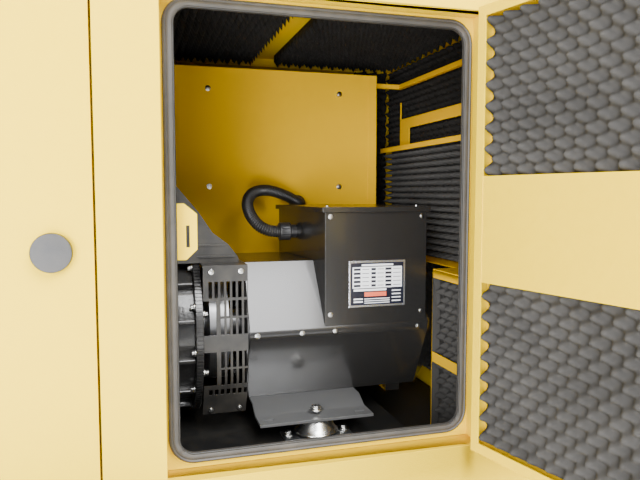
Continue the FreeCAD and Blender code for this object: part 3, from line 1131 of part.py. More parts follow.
os.makedirs("parts", exist_ok=True)
for thing in NODES:
    thing.Shape.exportStep(f"parts/{thing.Label}.step")
print(len(NODES), "sub-parts written")
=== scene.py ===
import bmesh
import bpy
import json
import math
from mathutils import Matrix, Vector


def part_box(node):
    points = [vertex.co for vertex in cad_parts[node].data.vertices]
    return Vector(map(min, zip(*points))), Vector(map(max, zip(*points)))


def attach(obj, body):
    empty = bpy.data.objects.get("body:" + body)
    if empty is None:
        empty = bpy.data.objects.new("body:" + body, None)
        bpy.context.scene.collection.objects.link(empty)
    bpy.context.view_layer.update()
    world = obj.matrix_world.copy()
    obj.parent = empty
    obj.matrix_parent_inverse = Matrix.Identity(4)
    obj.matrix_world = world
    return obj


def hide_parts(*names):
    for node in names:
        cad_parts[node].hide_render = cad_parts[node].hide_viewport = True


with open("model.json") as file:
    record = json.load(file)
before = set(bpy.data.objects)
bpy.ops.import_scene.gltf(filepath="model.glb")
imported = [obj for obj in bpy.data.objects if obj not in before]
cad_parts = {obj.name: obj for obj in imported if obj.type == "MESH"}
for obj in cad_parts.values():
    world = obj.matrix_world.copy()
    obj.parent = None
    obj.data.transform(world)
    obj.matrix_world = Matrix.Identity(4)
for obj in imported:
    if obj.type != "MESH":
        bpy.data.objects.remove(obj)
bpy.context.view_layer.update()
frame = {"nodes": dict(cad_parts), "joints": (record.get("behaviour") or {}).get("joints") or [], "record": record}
nodes = frame["nodes"]

# ---------------------------------------------------------------- camera, floor and light
# A standing view through the open alternator door, level and a little turned to the right,
# over a pale floor with one large soft light behind the viewer and a weaker one from the left.
camera_data = bpy.data.cameras.new("view")
camera_data.lens = 34.875
camera_data.sensor_width = 36.0
camera = bpy.data.objects.new("view", camera_data)
bpy.context.collection.objects.link(camera)
camera.location = (0.710, -1.3514, 1.150)
camera.rotation_euler = (math.radians(85.67), 0, math.radians(-16.5))
bpy.context.scene.camera = camera

world = bpy.data.worlds.new("soft_room")
world.use_nodes = True
world.node_tree.nodes["Background"].inputs["Color"].default_value = (0.95, 0.97, 1.0, 1)
world.node_tree.nodes["Background"].inputs["Strength"].default_value = 0.8
bpy.context.scene.world = world
for name, place, aim, size, power in (("key", (1.8, -3.2, 4.4), (0.9, 0.0, 1.0), 3.6, 640),
                                      ("front", (-1.1, -3.4, 1.7), (0.9, -0.1, 1.0), 2.0, 230),
                                      ("low", (0.0, -2.8, 0.5), (1.0, 0.2, 1.2), 1.0, 60),
                                      ("far", (-2.5, 4.5, 4.0), (0.0, 0.0, 0.8), 3.5, 300)):
    lamp = bpy.data.lights.new(name, "AREA")
    lamp.shape = "DISK"
    lamp.size = size
    lamp.energy = power
    holder = bpy.data.objects.new(name, lamp)
    bpy.context.collection.objects.link(holder)
    holder.location = place
    holder.rotation_euler = (Vector(aim) - Vector(place)).to_track_quat("-Z", "Y").to_euler()

bpy.ops.object.select_all(action="DESELECT")
bpy.ops.mesh.primitive_plane_add(size=60, location=(0, 0, -0.001))
floor = bpy.context.object
floor.name = "floor"
bpy.ops.object.transform_apply(location=True)
pale = bpy.data.materials.new("pale_floor")
pale.use_nodes = True
pale.node_tree.nodes["Principled BSDF"].inputs["Base Color"].default_value = (0.82, 0.82, 0.80, 1)
pale.node_tree.nodes["Principled BSDF"].inputs["Roughness"].default_value = 0.75
floor.data.materials.append(pale)


# ---------------------------------------------------------------- canopy side frames
# Folded steel trays butted together round the door openings and powder coated a warm yellow, with
# rounded folds and a fine orange-peel skin. The coat's group is shared by every painted piece.
def coat_group():
    """Orange-peel skin and dust in slowly drifting patches, for painted metal."""
    group = bpy.data.node_groups.new("coat", "ShaderNodeTree")
    for name, kind, value in (("Colour", "NodeSocketColor", (0.8, 0.5, 0.05, 1)),
                              ("Dust", "NodeSocketFloat", 0.15),
                              ("Roughness", "NodeSocketFloat", 0.3),
                              ("Peel", "NodeSocketFloat", 0.1)):
        socket = group.interface.new_socket(name, in_out="INPUT", socket_type=kind)
        socket.default_value = value
    for name, kind in (("Colour", "NodeSocketColor"), ("Roughness", "NodeSocketFloat"),
                       ("Normal", "NodeSocketVector")):
        group.interface.new_socket(name, in_out="OUTPUT", socket_type=kind)
    add = group.nodes.new
    link = group.links.new
    entry = add("NodeGroupInput")
    leave = add("NodeGroupOutput")
    place = add("ShaderNodeTexCoord")
    peel = add("ShaderNodeTexNoise")
    peel.inputs["Scale"].default_value = 420
    peel.inputs["Detail"].default_value = 2
    bump = add("ShaderNodeBump")
    bump.inputs["Distance"].default_value = 0.0004
    drift = add("ShaderNodeTexNoise")
    drift.inputs["Scale"].default_value = 5
    drift.inputs["Detail"].default_value = 6
    grime = add("ShaderNodeTexNoise")
    grime.inputs["Scale"].default_value = 34
    grime.inputs["Detail"].default_value = 8
    for texture in (peel, drift, grime):
        link(place.outputs["Object"], texture.inputs["Vector"])
    link(peel.outputs["Fac"], bump.inputs["Height"])
    link(entry.outputs["Peel"], bump.inputs["Strength"])
    link(bump.outputs["Normal"], leave.inputs["Normal"])
    mask = add("ShaderNodeMath")
    mask.operation = "MULTIPLY"
    link(drift.outputs["Fac"], mask.inputs[0])
    link(grime.outputs["Fac"], mask.inputs[1])
    shaped = add("ShaderNodeMapRange")
    shaped.inputs["From Min"].default_value = 0.18
    shaped.inputs["From Max"].default_value = 0.42
    link(mask.outputs[0], shaped.inputs["Value"])
    amount = add("ShaderNodeMath")
    amount.operation = "MULTIPLY"
    link(shaped.outputs["Result"], amount.inputs[0])
    link(entry.outputs["Dust"], amount.inputs[1])
    blend = add("ShaderNodeMix")
    blend.data_type = "RGBA"
    blend.inputs[7].default_value = (0.33, 0.29, 0.22, 1)
    link(amount.outputs[0], blend.inputs[0])
    link(entry.outputs["Colour"], blend.inputs[6])
    link(blend.outputs[2], leave.inputs["Colour"])
    rough = add("ShaderNodeMath")
    rough.operation = "ADD"
    link(entry.outputs["Roughness"], rough.inputs[0])
    link(amount.outputs[0], rough.inputs[1])
    link(rough.outputs[0], leave.inputs["Roughness"])
    return group


coat = coat_group()


def coated(name, colour, roughness, peel=0.25, dust=0.1, metallic=0.0, gloss=0.0, shine=0.5):
    """A painted-metal material from the shared coat."""
    material = bpy.data.materials.new(name)
    material.use_nodes = True
    tree = material.node_tree
    shader = tree.nodes["Principled BSDF"]
    shader.inputs["Metallic"].default_value = metallic
    shader.inputs["Coat Weight"].default_value = gloss
    shader.inputs["Specular IOR Level"].default_value = shine
    shader.inputs["Coat Roughness"].default_value = 0.12
    group = tree.nodes.new("ShaderNodeGroup")
    group.node_tree = coat
    group.inputs["Colour"].default_value = (*colour, 1)
    group.inputs["Dust"].default_value = dust
    group.inputs["Roughness"].default_value = roughness
    group.inputs["Peel"].default_value = peel
    tree.links.new(group.outputs["Colour"], shader.inputs["Base Color"])
    tree.links.new(group.outputs["Roughness"], shader.inputs["Roughness"])
    tree.links.new(group.outputs["Normal"], shader.inputs["Normal"])
    return material


def alone(piece):
    """The piece is the only one selected, and the active one."""
    bpy.ops.object.select_all(action="DESELECT")
    piece.select_set(True)
    bpy.context.view_layer.objects.active = piece


def dress(piece, material, body, slot, *stands_for):
    """The piece gets its finish, rides on its body and stands for its frame nodes."""
    piece.data.materials.clear()
    piece.data.materials.append(material)
    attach(piece, body)
    if stands_for:
        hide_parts(*stands_for)
    return piece


def corners(node):
    """The low and high corners of a frame node, as vectors."""
    return tuple(Vector(corner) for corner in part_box(node))


body_names = {node: body for body, names in frame["record"]["behaviour"]["bodies"].items() for node in names}
slot_names = {row["node"]: row["material_slot"] for row in frame["record"]["subparts"]}


def bevelled(piece, width, segments=2):
    """The active piece with its sharp edges rounded."""
    edge = piece.modifiers.new("edge", "BEVEL")
    edge.width = width
    edge.segments = segments
    edge.limit_method = "ANGLE"
    bpy.ops.object.modifier_apply(modifier="edge")


def softened(node, width, material):
    """A copy of a frame solid with its loose triangles merged and its edges rounded, as folded or cast."""
    piece = bpy.data.objects.new(node + "_piece", nodes[node].data.copy())
    bpy.context.collection.objects.link(piece)
    alone(piece)
    bpy.ops.object.mode_set(mode="EDIT")
    bpy.ops.mesh.select_all(action="SELECT")
    bpy.ops.mesh.remove_doubles(threshold=0.00001)
    bpy.ops.mesh.dissolve_limited(angle_limit=math.radians(1.5))
    bpy.ops.object.mode_set(mode="OBJECT")
    bevelled(piece, width)
    bpy.ops.object.shade_smooth_by_angle(angle=math.radians(38))
    even = piece.modifiers.new("even", "WEIGHTED_NORMAL")
    even.keep_sharp = True
    bpy.ops.object.modifier_apply(modifier="even")
    return dress(piece, material, body_names[node], slot_names[node], node)


# The outside copy of the yellow paint is mixed paler and lemonier than the inside one: painted light for the
# brightly lit front frames.
yellow = coated("yellow_powder_lit", (0.86, 0.59, 0.0), 0.38, peel=0.22, dust=0.02, shine=0.1)
softened("side_frame_near", 0.0016, yellow)
softened("side_frame_far", 0.0016, yellow)

# ---------------------------------------------------------------- roof, end panels and doors
# Pressed covers in the same coat: the roof cap, the two louvred ends and the three doors.
for node in ("roof", "rear_end_panel", "front_end_panel", "rear_door", "front_door", "control_door"):
    softened(node, 0.0014, yellow)

# ---------------------------------------------------------------- control compartment and end wall
# Thin yellow sheet-metal work behind and beside the alternator, screwed together inside the canopy.
# The inside copy of the same yellow paint is mixed darker and more orange: painted shade for the panels deep in
# the canopy.
yellow_shaded_copy = coated("yellow_shaded_inner", (0.88, 0.50, 0.0), 0.46, peel=0.18, dust=0.01, shine=0.04)
softened("control_compartment", 0.0012, yellow_shaded_copy)
softened("outlet_box", 0.0010, yellow_shaded_copy)


# ---------------------------------------------------------------- acoustic foam
# Charcoal egg-crate foam glued to the ceiling, the end wall, the outlet box and the door: rows of
# soft peaks and pits on a flat back. Each slab fills the place of a plain frame solid.
def loose_boxes(node):
    """The (low, high) corners of each separate solid in a frame node, in a fixed order."""
    work = bmesh.new()
    work.from_mesh(nodes[node].data)
    bmesh.ops.remove_doubles(work, verts=work.verts, dist=0.00001)
    seen = set()
    boxes = []
    for start in work.verts:
        if start in seen:
            continue
        stack = [start]
        seen.add(start)
        corner_low = start.co.copy()
        corner_high = start.co.copy()
        while stack:
            vertex = stack.pop()
            for axis in range(3):
                corner_low[axis] = min(corner_low[axis], vertex.co[axis])
                corner_high[axis] = max(corner_high[axis], vertex.co[axis])
            for edge in vertex.link_edges:
                other = edge.other_vert(vertex)
                if other not in seen:
                    seen.add(other)
                    stack.append(other)
        boxes.append((corner_low, corner_high))
    work.free()
    return sorted(boxes, key=lambda box: tuple(round(value, 4) for value in (*box[0], *box[1])))


def mottled(name, dark, light, drift, grain, relief, roughness, shine=0.5, gloss=0.0):
    """A skin that drifts between two tones and has a fine relief; textures are (kind, scale, detail)."""
    material = bpy.data.materials.new(name)
    material.use_nodes = True
    tree = material.node_tree
    shader = tree.nodes["Principled BSDF"]
    shader.inputs["Roughness"].default_value = roughness
    shader.inputs["Specular IOR Level"].default_value = shine
    shader.inputs["Coat Weight"].default_value = gloss
    place = tree.nodes.new("ShaderNodeTexCoord")
    textures = []
    for kind, scale, detail in (drift, grain):
        texture = tree.nodes.new("ShaderNodeTex" + kind)
        texture.inputs["Scale"].default_value = scale
        texture.inputs["Detail"].default_value = detail
        tree.links.new(place.outputs["Object"], texture.inputs["Vector"])
        textures.append(texture)
    ramp = tree.nodes.new("ShaderNodeValToRGB")
    ramp.color_ramp.elements[0].color = (*dark, 1)
    ramp.color_ramp.elements[1].color = (*light, 1)
    bump = tree.nodes.new("ShaderNodeBump")
    bump.inputs["Strength"].default_value, bump.inputs["Distance"].default_value = relief
    tree.links.new(textures[0].outputs[0], ramp.inputs["Fac"])
    tree.links.new(textures[1].outputs[0], bump.inputs["Height"])
    tree.links.new(ramp.outputs["Color"], shader.inputs["Base Color"])
    tree.links.new(bump.outputs["Normal"], shader.inputs["Normal"])
    return material


foam_grey = mottled("foam_charcoal", (0.028, 0.027, 0.026), (0.075, 0.072, 0.068), ("Noise", 9, 5),
                    ("Voronoi", 900, 0), (0.5, 0.0008), 0.92, shine=0.2)
# A darker copy of the same charcoal foam: painted shade for the slabs high up under the roof.
foam_painted_shade = mottled("foam_painted_shade", (0.008, 0.0075, 0.007), (0.022, 0.020, 0.018), ("Noise", 9, 5),
                     ("Voronoi", 900, 0), (0.5, 0.0008), 0.92, shine=0.2)

foam_pitch = 0.037
foam_step = 0.0048
foam_base = 0.008
foam_sharpness = 1.4


def egg_crate(name, corner, across, up, normal, depth):
    """A slab with peaks and pits on its face, made from a grid over its two edge vectors."""
    columns = max(8, round(across.length / foam_step))
    rows = max(8, round(up.length / foam_step))
    bpy.ops.object.select_all(action="DESELECT")
    bpy.ops.mesh.primitive_grid_add(x_subdivisions=columns, y_subdivisions=rows, size=2)
    piece = bpy.context.object
    piece.name = name
    bpy.ops.object.mode_set(mode="EDIT")
    bpy.ops.mesh.select_all(action="SELECT")
    bpy.ops.mesh.extrude_region_move(TRANSFORM_OT_translate={"value": (0, 0, 1)})
    bpy.ops.object.mode_set(mode="OBJECT")
    for vertex in piece.data.vertices:
        u = (vertex.co.x + 1) / 2
        v = (vertex.co.y + 1) / 2
        face = vertex.co.z > 0.5
        wave_across = math.sin(2 * math.pi * u * across.length / foam_pitch)
        wave_up = math.sin(2 * math.pi * v * up.length / foam_pitch)
        crest = (0.5 + 0.5 * wave_across * wave_up) ** foam_sharpness
        rise = foam_base + (depth - foam_base) * crest if face else 0
        vertex.co = corner + across * u + up * v + normal * rise
    alone(piece)
    bpy.ops.object.mode_set(mode="EDIT")
    bpy.ops.mesh.select_all(action="DESELECT")
    bpy.ops.mesh.select_non_manifold()
    bpy.ops.mesh.edge_face_add()
    bpy.ops.mesh.select_all(action="SELECT")
    bpy.ops.mesh.normals_make_consistent(inside=False)
    bpy.ops.object.mode_set(mode="OBJECT")
    bpy.ops.object.shade_smooth()
    return piece


painted_shade_above = 1.40
slabs = []
for number, (slab_low, slab_high) in enumerate(loose_boxes("acoustic_foam")):
    size = slab_high - slab_low
    if size.z < size.x:
        corner = Vector((slab_low.x, slab_high.y, slab_high.z))
        made = egg_crate(f"ceiling_foam_{number}", corner, Vector((size.x, 0, 0)), Vector((0, -size.y, 0)),
                         Vector((0, 0, -1)), size.z)
    elif size.y < size.x:
        corner = Vector((slab_low.x, slab_high.y, slab_low.z))
        made = egg_crate(f"far_foam_{number}", corner, Vector((size.x, 0, 0)), Vector((0, 0, size.z)),
                         Vector((0, -1, 0)), size.y)
    else:
        corner = Vector((slab_high.x, slab_high.y, slab_low.z))
        made = egg_crate(f"wall_foam_{number}", corner, Vector((0, -size.y, 0)), Vector((0, 0, size.z)),
                         Vector((-1, 0, 0)), size.x)
    slabs.append(made)
# Slabs that reach above 1.40 m take the darker foam copy, painted shade for the dim ceiling and upper wall.
for slab in slabs:
    high_up = max(vertex.co.z for vertex in slab.data.vertices) > painted_shade_above
    dress(slab, foam_painted_shade if high_up else foam_grey, "trailer", "foam", "acoustic_foam")

outlet_low = corners("outlet_box")[0]
casing_low, casing_high = corners("alternator_casing")
louvres_x = corners("rear_end_panel")[0].x
cheek_reach = 0.10
highest_wall_slab = 1.1
# The two cheeks of the outlet duct are lined with a thin skin of the same foam.
lined = bpy.data.objects["outlet_box_piece"]
lined.data.materials.append(foam_grey)
ledge_top = max(slab_high.z for slab_low, slab_high in loose_boxes("acoustic_foam")
                if slab_high.z < highest_wall_slab)
for face in lined.data.polygons:
    between = casing_low.y - cheek_reach < face.center.y < casing_high.y + cheek_reach
    if between and abs(face.normal.y) > 0.9 and face.center.z < ledge_top:
        face.material_index = 1

# A foam-faced baffle hangs in the outlet duct, a hand's width before the louvres, where it traps noise.
duct_middle = (casing_low.y + casing_high.y) / 2
baffle_half = 0.150
baffle_back = 0.012
baffle_above_floor = 0.070
baffle_below_top = 0.040
baffle_depth = 0.034
baffle_corner = Vector((louvres_x - baffle_back, duct_middle + baffle_half,
                        outlet_low.z + baffle_above_floor))
baffle_height = casing_high.z - baffle_below_top - baffle_corner.z
baffle = egg_crate("outlet_baffle", baffle_corner, Vector((0, -2 * baffle_half, 0)),
                   Vector((0, 0, baffle_height)), Vector((-1, 0, 0)), baffle_depth)
dress(baffle, foam_grey, "trailer", "foam")

# The door's two panels lie in its own slanted frame, so their edges come from the node's corners.
door_open_degrees = 103
door_angle = math.radians(door_open_degrees)
along = Vector((-math.cos(door_angle), -math.sin(door_angle), 0))
inward = Vector((-math.sin(door_angle), math.cos(door_angle), 0))
hinge = Vector(next(joint for joint in frame["joints"] if joint["name"] == "alternator_door_swing")["pos_m"])
hinge.z = 0
points = [vertex.co for vertex in nodes["rear_door_foam"].data.vertices]
reach = [(point - hinge).dot(along) for point in points]
deep = [(point - hinge).dot(inward) for point in points]
split = sum(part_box("rear_door_foam")[corner][2] for corner in (0, 1)) / 2
for name, heights in (("door_foam_low", [point.z for point in points if point.z < split]),
                      ("door_foam_high", [point.z for point in points if point.z > split])):
    corner = hinge + along * max(reach) + inward * min(deep) + Vector((0, 0, min(heights)))
    width = along * (min(reach) - max(reach))
    height = Vector((0, 0, max(heights) - min(heights)))
    made = egg_crate(name, corner, width, height, inward, max(deep) - min(deep))
    dress(made, foam_grey, "alternator_door", "foam", "rear_door_foam")


# ---------------------------------------------------------------- door seals
# Grey sponge-rubber edge seals pushed onto each door flange: a channel that grips the edge with a
# soft bulb on its face, bent round the corners, where the bulb creases a little.
def swept(name, path, sections, closed):
    """A skin through a ring of section points at each path point."""
    count = len(sections[0])
    vertices = [point for section in sections for point in section]
    faces = []
    spans = len(path) if closed else len(path) - 1
    for step in range(spans):
        here = step * count
        there = ((step + 1) % len(path)) * count
        for side in range(count):
            following = (side + 1) % count
            faces.append((here + side, here + following, there + following, there + side))
    if not closed:
        faces.append(tuple(reversed(range(count))))
        faces.append(tuple(range((len(path) - 1) * count, len(path) * count)))
    mesh = bpy.data.meshes.new(name)
    mesh.from_pydata(vertices, [], faces)
    piece = bpy.data.objects.new(name, mesh)
    bpy.context.collection.objects.link(piece)
    alone(piece)
    bpy.ops.object.mode_set(mode="EDIT")
    bpy.ops.mesh.select_all(action="SELECT")
    bpy.ops.mesh.normals_make_consistent(inside=False)
    bpy.ops.object.mode_set(mode="OBJECT")
    bpy.ops.object.shade_smooth_by_angle(angle=math.radians(50))
    return piece


seal_rubber = coated("seal_rubber", (0.042, 0.039, 0.036), 0.52, peel=0.5, dust=0.10)
# The lip ring inside the seal is a real ridge, but its near-black colour is a painted shadow line along the seal's
# inner edge.
shadow_lip_rubber = coated("shadow_lip_rubber", (0.010, 0.010, 0.010), 0.5, peel=0.3, dust=0.05)
seal_width = 0.019
seal_radius = 0.0355
bulb_half = 0.006
bulb_steps = 24
groove_place = 0.0030
groove_depth = 0.0022
lip_radius = 0.0020
lip_inset = 0.0080
lip_lift = 0.0098
lip_sides = 8
crease_swell = 0.10
pinch_depth = 0.0012
pinch_reach = 0.05
corner_steps = 12
straight_steps = 30
bulb = []
for step in range(bulb_steps):
    turn = 2 * math.pi * step / bulb_steps
    side = math.cos(turn)
    front = math.sin(turn)
    width = seal_width / 2 * math.copysign(abs(side) ** 0.8, side)
    height = bulb_half + bulb_half * math.copysign(abs(front) ** 0.75, front)
    groove = groove_depth * math.exp(-((width - groove_place) / 0.0010) ** 2) if front > 0.2 else 0
    bulb.append((width, height - groove))


def seal_path(half_x, half_z):
    """(x, z, outward turn, share of the bend) round a rounded oblong; the share is -1 on its straights."""
    quarters = ((1, 1), (-1, 1), (-1, -1), (1, -1))
    path = []
    for quarter, (corner_x, corner_z) in enumerate(quarters):
        for step in range(corner_steps + 1):
            turn = math.radians(90 * quarter + 90 * step / corner_steps)
            path.append((corner_x * (half_x - seal_radius) + seal_radius * math.cos(turn),
                         corner_z * (half_z - seal_radius) + seal_radius * math.sin(turn),
                         turn, step / corner_steps))
        next_x, next_z = quarters[(quarter + 1) % 4]
        last_x, last_z, turn, bend = path[-1]
        goal_x = next_x * (half_x - seal_radius) + seal_radius * math.cos(turn)
        goal_z = next_z * (half_z - seal_radius) + seal_radius * math.sin(turn)
        for step in range(1, straight_steps):
            share = step / straight_steps
            path.append((last_x + (goal_x - last_x) * share, last_z + (goal_z - last_z) * share, turn, -1))
    return path


for number, (ring_low, ring_high) in enumerate(loose_boxes("door_seals")):
    near_side = (ring_low.y + ring_high.y) / 2 < duct_middle
    floor_y = ring_high.y if near_side else ring_low.y
    outward = -1 if near_side else 1
    middle = (ring_low + ring_high) / 2
    path = seal_path((ring_high.x - ring_low.x - seal_width) / 2, (ring_high.z - ring_low.z - seal_width) / 2)
    rings = []
    lip_rings = []
    for x, z, turn, bend in path:
        crease = 1 + (crease_swell * math.sin(math.pi * bend) ** 2 if bend >= 0 else 0)
        pinch = pinch_depth * math.exp(-((bend - 0.5) / pinch_reach) ** 2) if bend >= 0 else 0
        ring = []
        for width, height in bulb:
            place_x = middle.x + x + math.cos(turn) * width
            place_z = middle.z + z + math.sin(turn) * width
            lift = max(height * crease - (pinch if height > bulb_half else 0), 0)
            ring.append((place_x, floor_y + outward * lift, place_z))
        rings.append(ring)
        lip_ring = []
        for step in range(lip_sides):
            around = 2 * math.pi * step / lip_sides
            inset = lip_radius * math.cos(around) - lip_inset
            lift = lip_lift + lip_radius * math.sin(around)
            lip_ring.append((middle.x + x + math.cos(turn) * inset, floor_y + outward * lift,
                             middle.z + z + math.sin(turn) * inset))
        lip_rings.append(lip_ring)
    seal = swept(f"door_seal_{number}", path, rings, True)
    dress(seal, seal_rubber, "trailer", "seal_rubber", "door_seals")
    # The lip's near-black ring paints the shadow line along the seal's inner edge.
    lip = swept(f"seal_lip_{number}", path, lip_rings, True)
    dress(lip, shadow_lip_rubber, "trailer", "seal_rubber", "door_seals")

# ---------------------------------------------------------------- alternator
# A folded eight-sided casing with a tapered end cover, both in satin black paint that mirrors what
# stands around it, and the slotted guard over the coupling in a flatter dark grey.
black = coated("black_paint", (0.014, 0.0135, 0.013), 0.26, peel=0.10, dust=0.008, gloss=0.35)
for node in ("alternator_casing", "alternator_end_cover", "terminal_box", "terminal_box_lid"):
    softened(node, 0.0012, black)
guard_grey = coated("guard_grey", (0.026, 0.025, 0.024), 0.34, peel=0.3, dust=0.10, gloss=0.15)
softened("fan_guard", 0.0006, guard_grey)
foot_grey = coated("foot_grey", (0.34, 0.345, 0.35), 0.30, peel=0.15, dust=0.06, metallic=0.8)
softened("alternator_feet", 0.0012, foot_grey)

# ---------------------------------------------------------------- rating plate
# A riveted plate with a bright rim, a navy field, rows of blank white fields and a plain red band.
# Nothing is written on it.
plate_low, plate_high = corners("rating_plate")
wide = plate_high.x - plate_low.x
tall = plate_high.z - plate_low.z


def block(size, centre=(0, 0, 0), rounding=0, segments=2):
    """A block of a given size round its centre, with its edges rounded where a width is given."""
    bpy.ops.object.select_all(action="DESELECT")
    bpy.ops.mesh.primitive_cube_add(size=1, location=centre)
    made = bpy.context.object
    made.scale = size
    bpy.ops.object.transform_apply(location=True, rotation=False, scale=True)
    if rounding:
        bevelled(made, rounding, segments)
    return made


def tablets(name, rows, depth, proud, material, rounding=0.0004):
    """Thin rounded tablets on the plate, each given as left, low, right and high shares of it."""
    made = []
    for left, low, right, high in rows:
        centre = (plate_low.x + wide * (left + right) / 2, plate_low.y - proud + depth / 2,
                  plate_low.z + tall * (low + high) / 2)
        made.append(block((wide * (right - left), depth, tall * (high - low)), centre, rounding))
    bpy.ops.object.select_all(action="DESELECT")
    for tablet in made:
        tablet.select_set(True)
    bpy.context.view_layer.objects.active = made[0]
    if len(made) > 1:
        bpy.ops.object.join()
    piece = bpy.context.object
    piece.name = name
    return dress(piece, material, "trailer", "plate_metal", "rating_plate")


plate_silver = coated("plate_silver", (0.74, 0.75, 0.76), 0.25, peel=0.1, dust=0.05, metallic=0.9)
plate_navy = coated("plate_navy", (0.006, 0.007, 0.016), 0.35, peel=0.1, dust=0.05)
plate_white = coated("plate_white", (0.80, 0.81, 0.82), 0.4, peel=0.1, dust=0.05)
plate_red = coated("plate_red", (0.72, 0.13, 0.06), 0.4, peel=0.1, dust=0.05)
tablets("plate_base", [(0, 0, 1, 1)], 0.0010, 0.0, plate_silver)
tablets("plate_field", [(0.03, 0.045, 0.97, 0.955)], 0.0004, 0.0002, plate_navy, 0.00015)
fields = [(0.22, 0.885, 0.78, 0.925), (0.06, 0.41, 0.94, 0.865)]
fields += [(0.08, 0.345, 0.66, 0.39), (0.08, 0.10, 0.24, 0.13), (0.08, 0.16, 0.24, 0.19)]
fields += [(0.27, 0.075 + 0.045 * row, 0.72, 0.092 + 0.045 * row) for row in range(3)]
fields += [(0.76, 0.10 + 0.075 * row, 0.92, 0.125 + 0.075 * row) for row in range(4)]
tablets("plate_fields", fields, 0.0003, 0.0004, plate_white, 0)
cells = []
for row in range(5):
    level = 0.79 - 0.088 * row
    for left, right in ((0.08, 0.20), (0.39, 0.47), (0.64, 0.75)):
        cells.append((left, level, right, level + 0.05))
    for left, right in ((0.23, 0.35), (0.50, 0.61), (0.78, 0.92)):
        cells.append((left, level + 0.018, right, level + 0.030))
tablets("plate_cells", cells, 0.0002, 0.0006, plate_navy, 0)
tablets("plate_band", [(0.27, 0.225, 0.66, 0.32)], 0.0003, 0.0004, plate_red, 0)


# ---------------------------------------------------------------- panel fasteners
# Zinc-plated flanged screws with a domed hexagon head, on the yellow panel, the terminal box, the
# casing seam and the guard. Each takes the place and the direction of a plain frame disc.
def screw(name, radius, height):
    """A flanged hexagon head that stands on the plane z = 0 with its centre at the origin."""
    bpy.ops.object.select_all(action="DESELECT")
    flange_height = height * 0.28
    bpy.ops.mesh.primitive_cylinder_add(vertices=28, radius=radius, depth=flange_height,
                                        location=(0, 0, flange_height / 2))
    flange = bpy.context.object
    bevelled(flange, height * 0.1)
    bpy.ops.object.select_all(action="DESELECT")
    bpy.ops.mesh.primitive_cylinder_add(vertices=6, radius=radius * 0.72, depth=height * 0.66,
                                        location=(0, 0, height * 0.6))
    head = bpy.context.object
    bevelled(head, height * 0.12, 3)
    flange.select_set(True)
    bpy.ops.object.join()
    made = bpy.context.object
    made.name = name
    bpy.ops.object.transform_apply(location=True)
    bpy.ops.object.shade_smooth_by_angle(angle=math.radians(35))
    return made


def stand(meshes, name, material, body, slot, *stands_for):
    """One piece from (mesh, matrix) pairs."""
    work = bmesh.new()
    for source, matrix in meshes:
        moved = source.copy()
        moved.transform(matrix)
        work.from_mesh(moved)
        bpy.data.meshes.remove(moved)
    mesh = bpy.data.meshes.new(name)
    work.to_mesh(mesh)
    work.free()
    piece = bpy.data.objects.new(name, mesh)
    bpy.context.collection.objects.link(piece)
    alone(piece)
    bpy.ops.object.shade_smooth_by_angle(angle=math.radians(35))
    return dress(piece, material, body, slot, *stands_for)


def mesh_only(piece):
    """The mesh of a piece that is placed many times, with its own object taken away."""
    mesh = piece.data
    bpy.data.objects.remove(piece)
    return mesh


def facing(spot, direction):
    """The matrix that puts a piece's z axis along a direction at a spot."""
    return Matrix.Translation(spot) @ Vector(direction).to_track_quat("Z", "Y").to_matrix().to_4x4()


zinc = coated("zinc_plate", (0.66, 0.66, 0.64), 0.24, peel=0.15, dust=0.1, metallic=1.0)
screw_mesh = mesh_only(screw("plain_screw", 1.0, 1.0))


def screwed(spot, direction, radius, height):
    """A screw of a given size that stands on a spot and points along a direction, ready for stand()."""
    return screw_mesh, facing(spot, direction) @ Matrix.Diagonal((radius, radius, height, 1))


placed = []
slope = Vector((0, -87, -45)).normalized()
flat_head = 0.0035
wide_head = 0.011
tall_head = 0.0075
tilted_head = 0.005
for disc_low, disc_high in loose_boxes("panel_fasteners"):
    size = disc_high - disc_low
    middle = (disc_low + disc_high) / 2
    if size.x > wide_head and size.z > wide_head and size.y < tall_head:
        direction = Vector((0, -1, 0))
        spot = Vector((middle.x, disc_high.y, middle.z))
        radius = max(size) / 2
        height = size.y
    elif size.z < flat_head:
        direction = Vector((0, 0, 1))
        spot = Vector((middle.x, middle.y, disc_low.z))
        radius = max(size) / 2
        height = size.z
    elif abs(size.y - size.z) < 0.0004:
        direction = Vector((1, 0, 0))
        spot = Vector((disc_low.x, middle.y, middle.z))
        radius = size.z / 2
        height = size.x
    else:
        direction = slope
        spot = middle - slope * tilted_head / 2
        radius = size.x / 2
        height = tilted_head
    placed.append(screwed(spot, direction, radius, height))
stand(placed, "panel_screws", zinc, "trailer", "zinc", "panel_fasteners")

# ---------------------------------------------------------------- anti-vibration mounts
# A bright zinc cup with a rolled rim over a rubber block, on a slotted base plate held by two
# hexagon bolts, with a washer and nut over the machine's foot.
mount_rubber = coated("mount_rubber", (0.02, 0.02, 0.02), 0.6, peel=0.5, dust=0.2)


def spun(name, profile, segments=48):
    """A closed turned piece about the z axis from (radius, height) points, made with the spin operator."""
    mesh = bpy.data.meshes.new(name)
    outline = [(radius, 0, height) for radius, height in profile]
    edges = [(index, (index + 1) % len(profile)) for index in range(len(profile))]
    mesh.from_pydata(outline, edges, [])
    piece = bpy.data.objects.new(name, mesh)
    bpy.context.collection.objects.link(piece)
    alone(piece)
    bpy.ops.object.mode_set(mode="EDIT")
    bpy.ops.mesh.select_all(action="SELECT")
    bpy.ops.mesh.spin(steps=segments, angle=2 * math.pi, center=(0, 0, 0), axis=(0, 0, 1))
    bpy.ops.mesh.select_all(action="SELECT")
    bpy.ops.mesh.remove_doubles(threshold=0.00002)
    bpy.ops.mesh.normals_make_consistent(inside=False)
    bpy.ops.object.mode_set(mode="OBJECT")
    bpy.ops.object.shade_smooth_by_angle(angle=math.radians(40))
    return piece


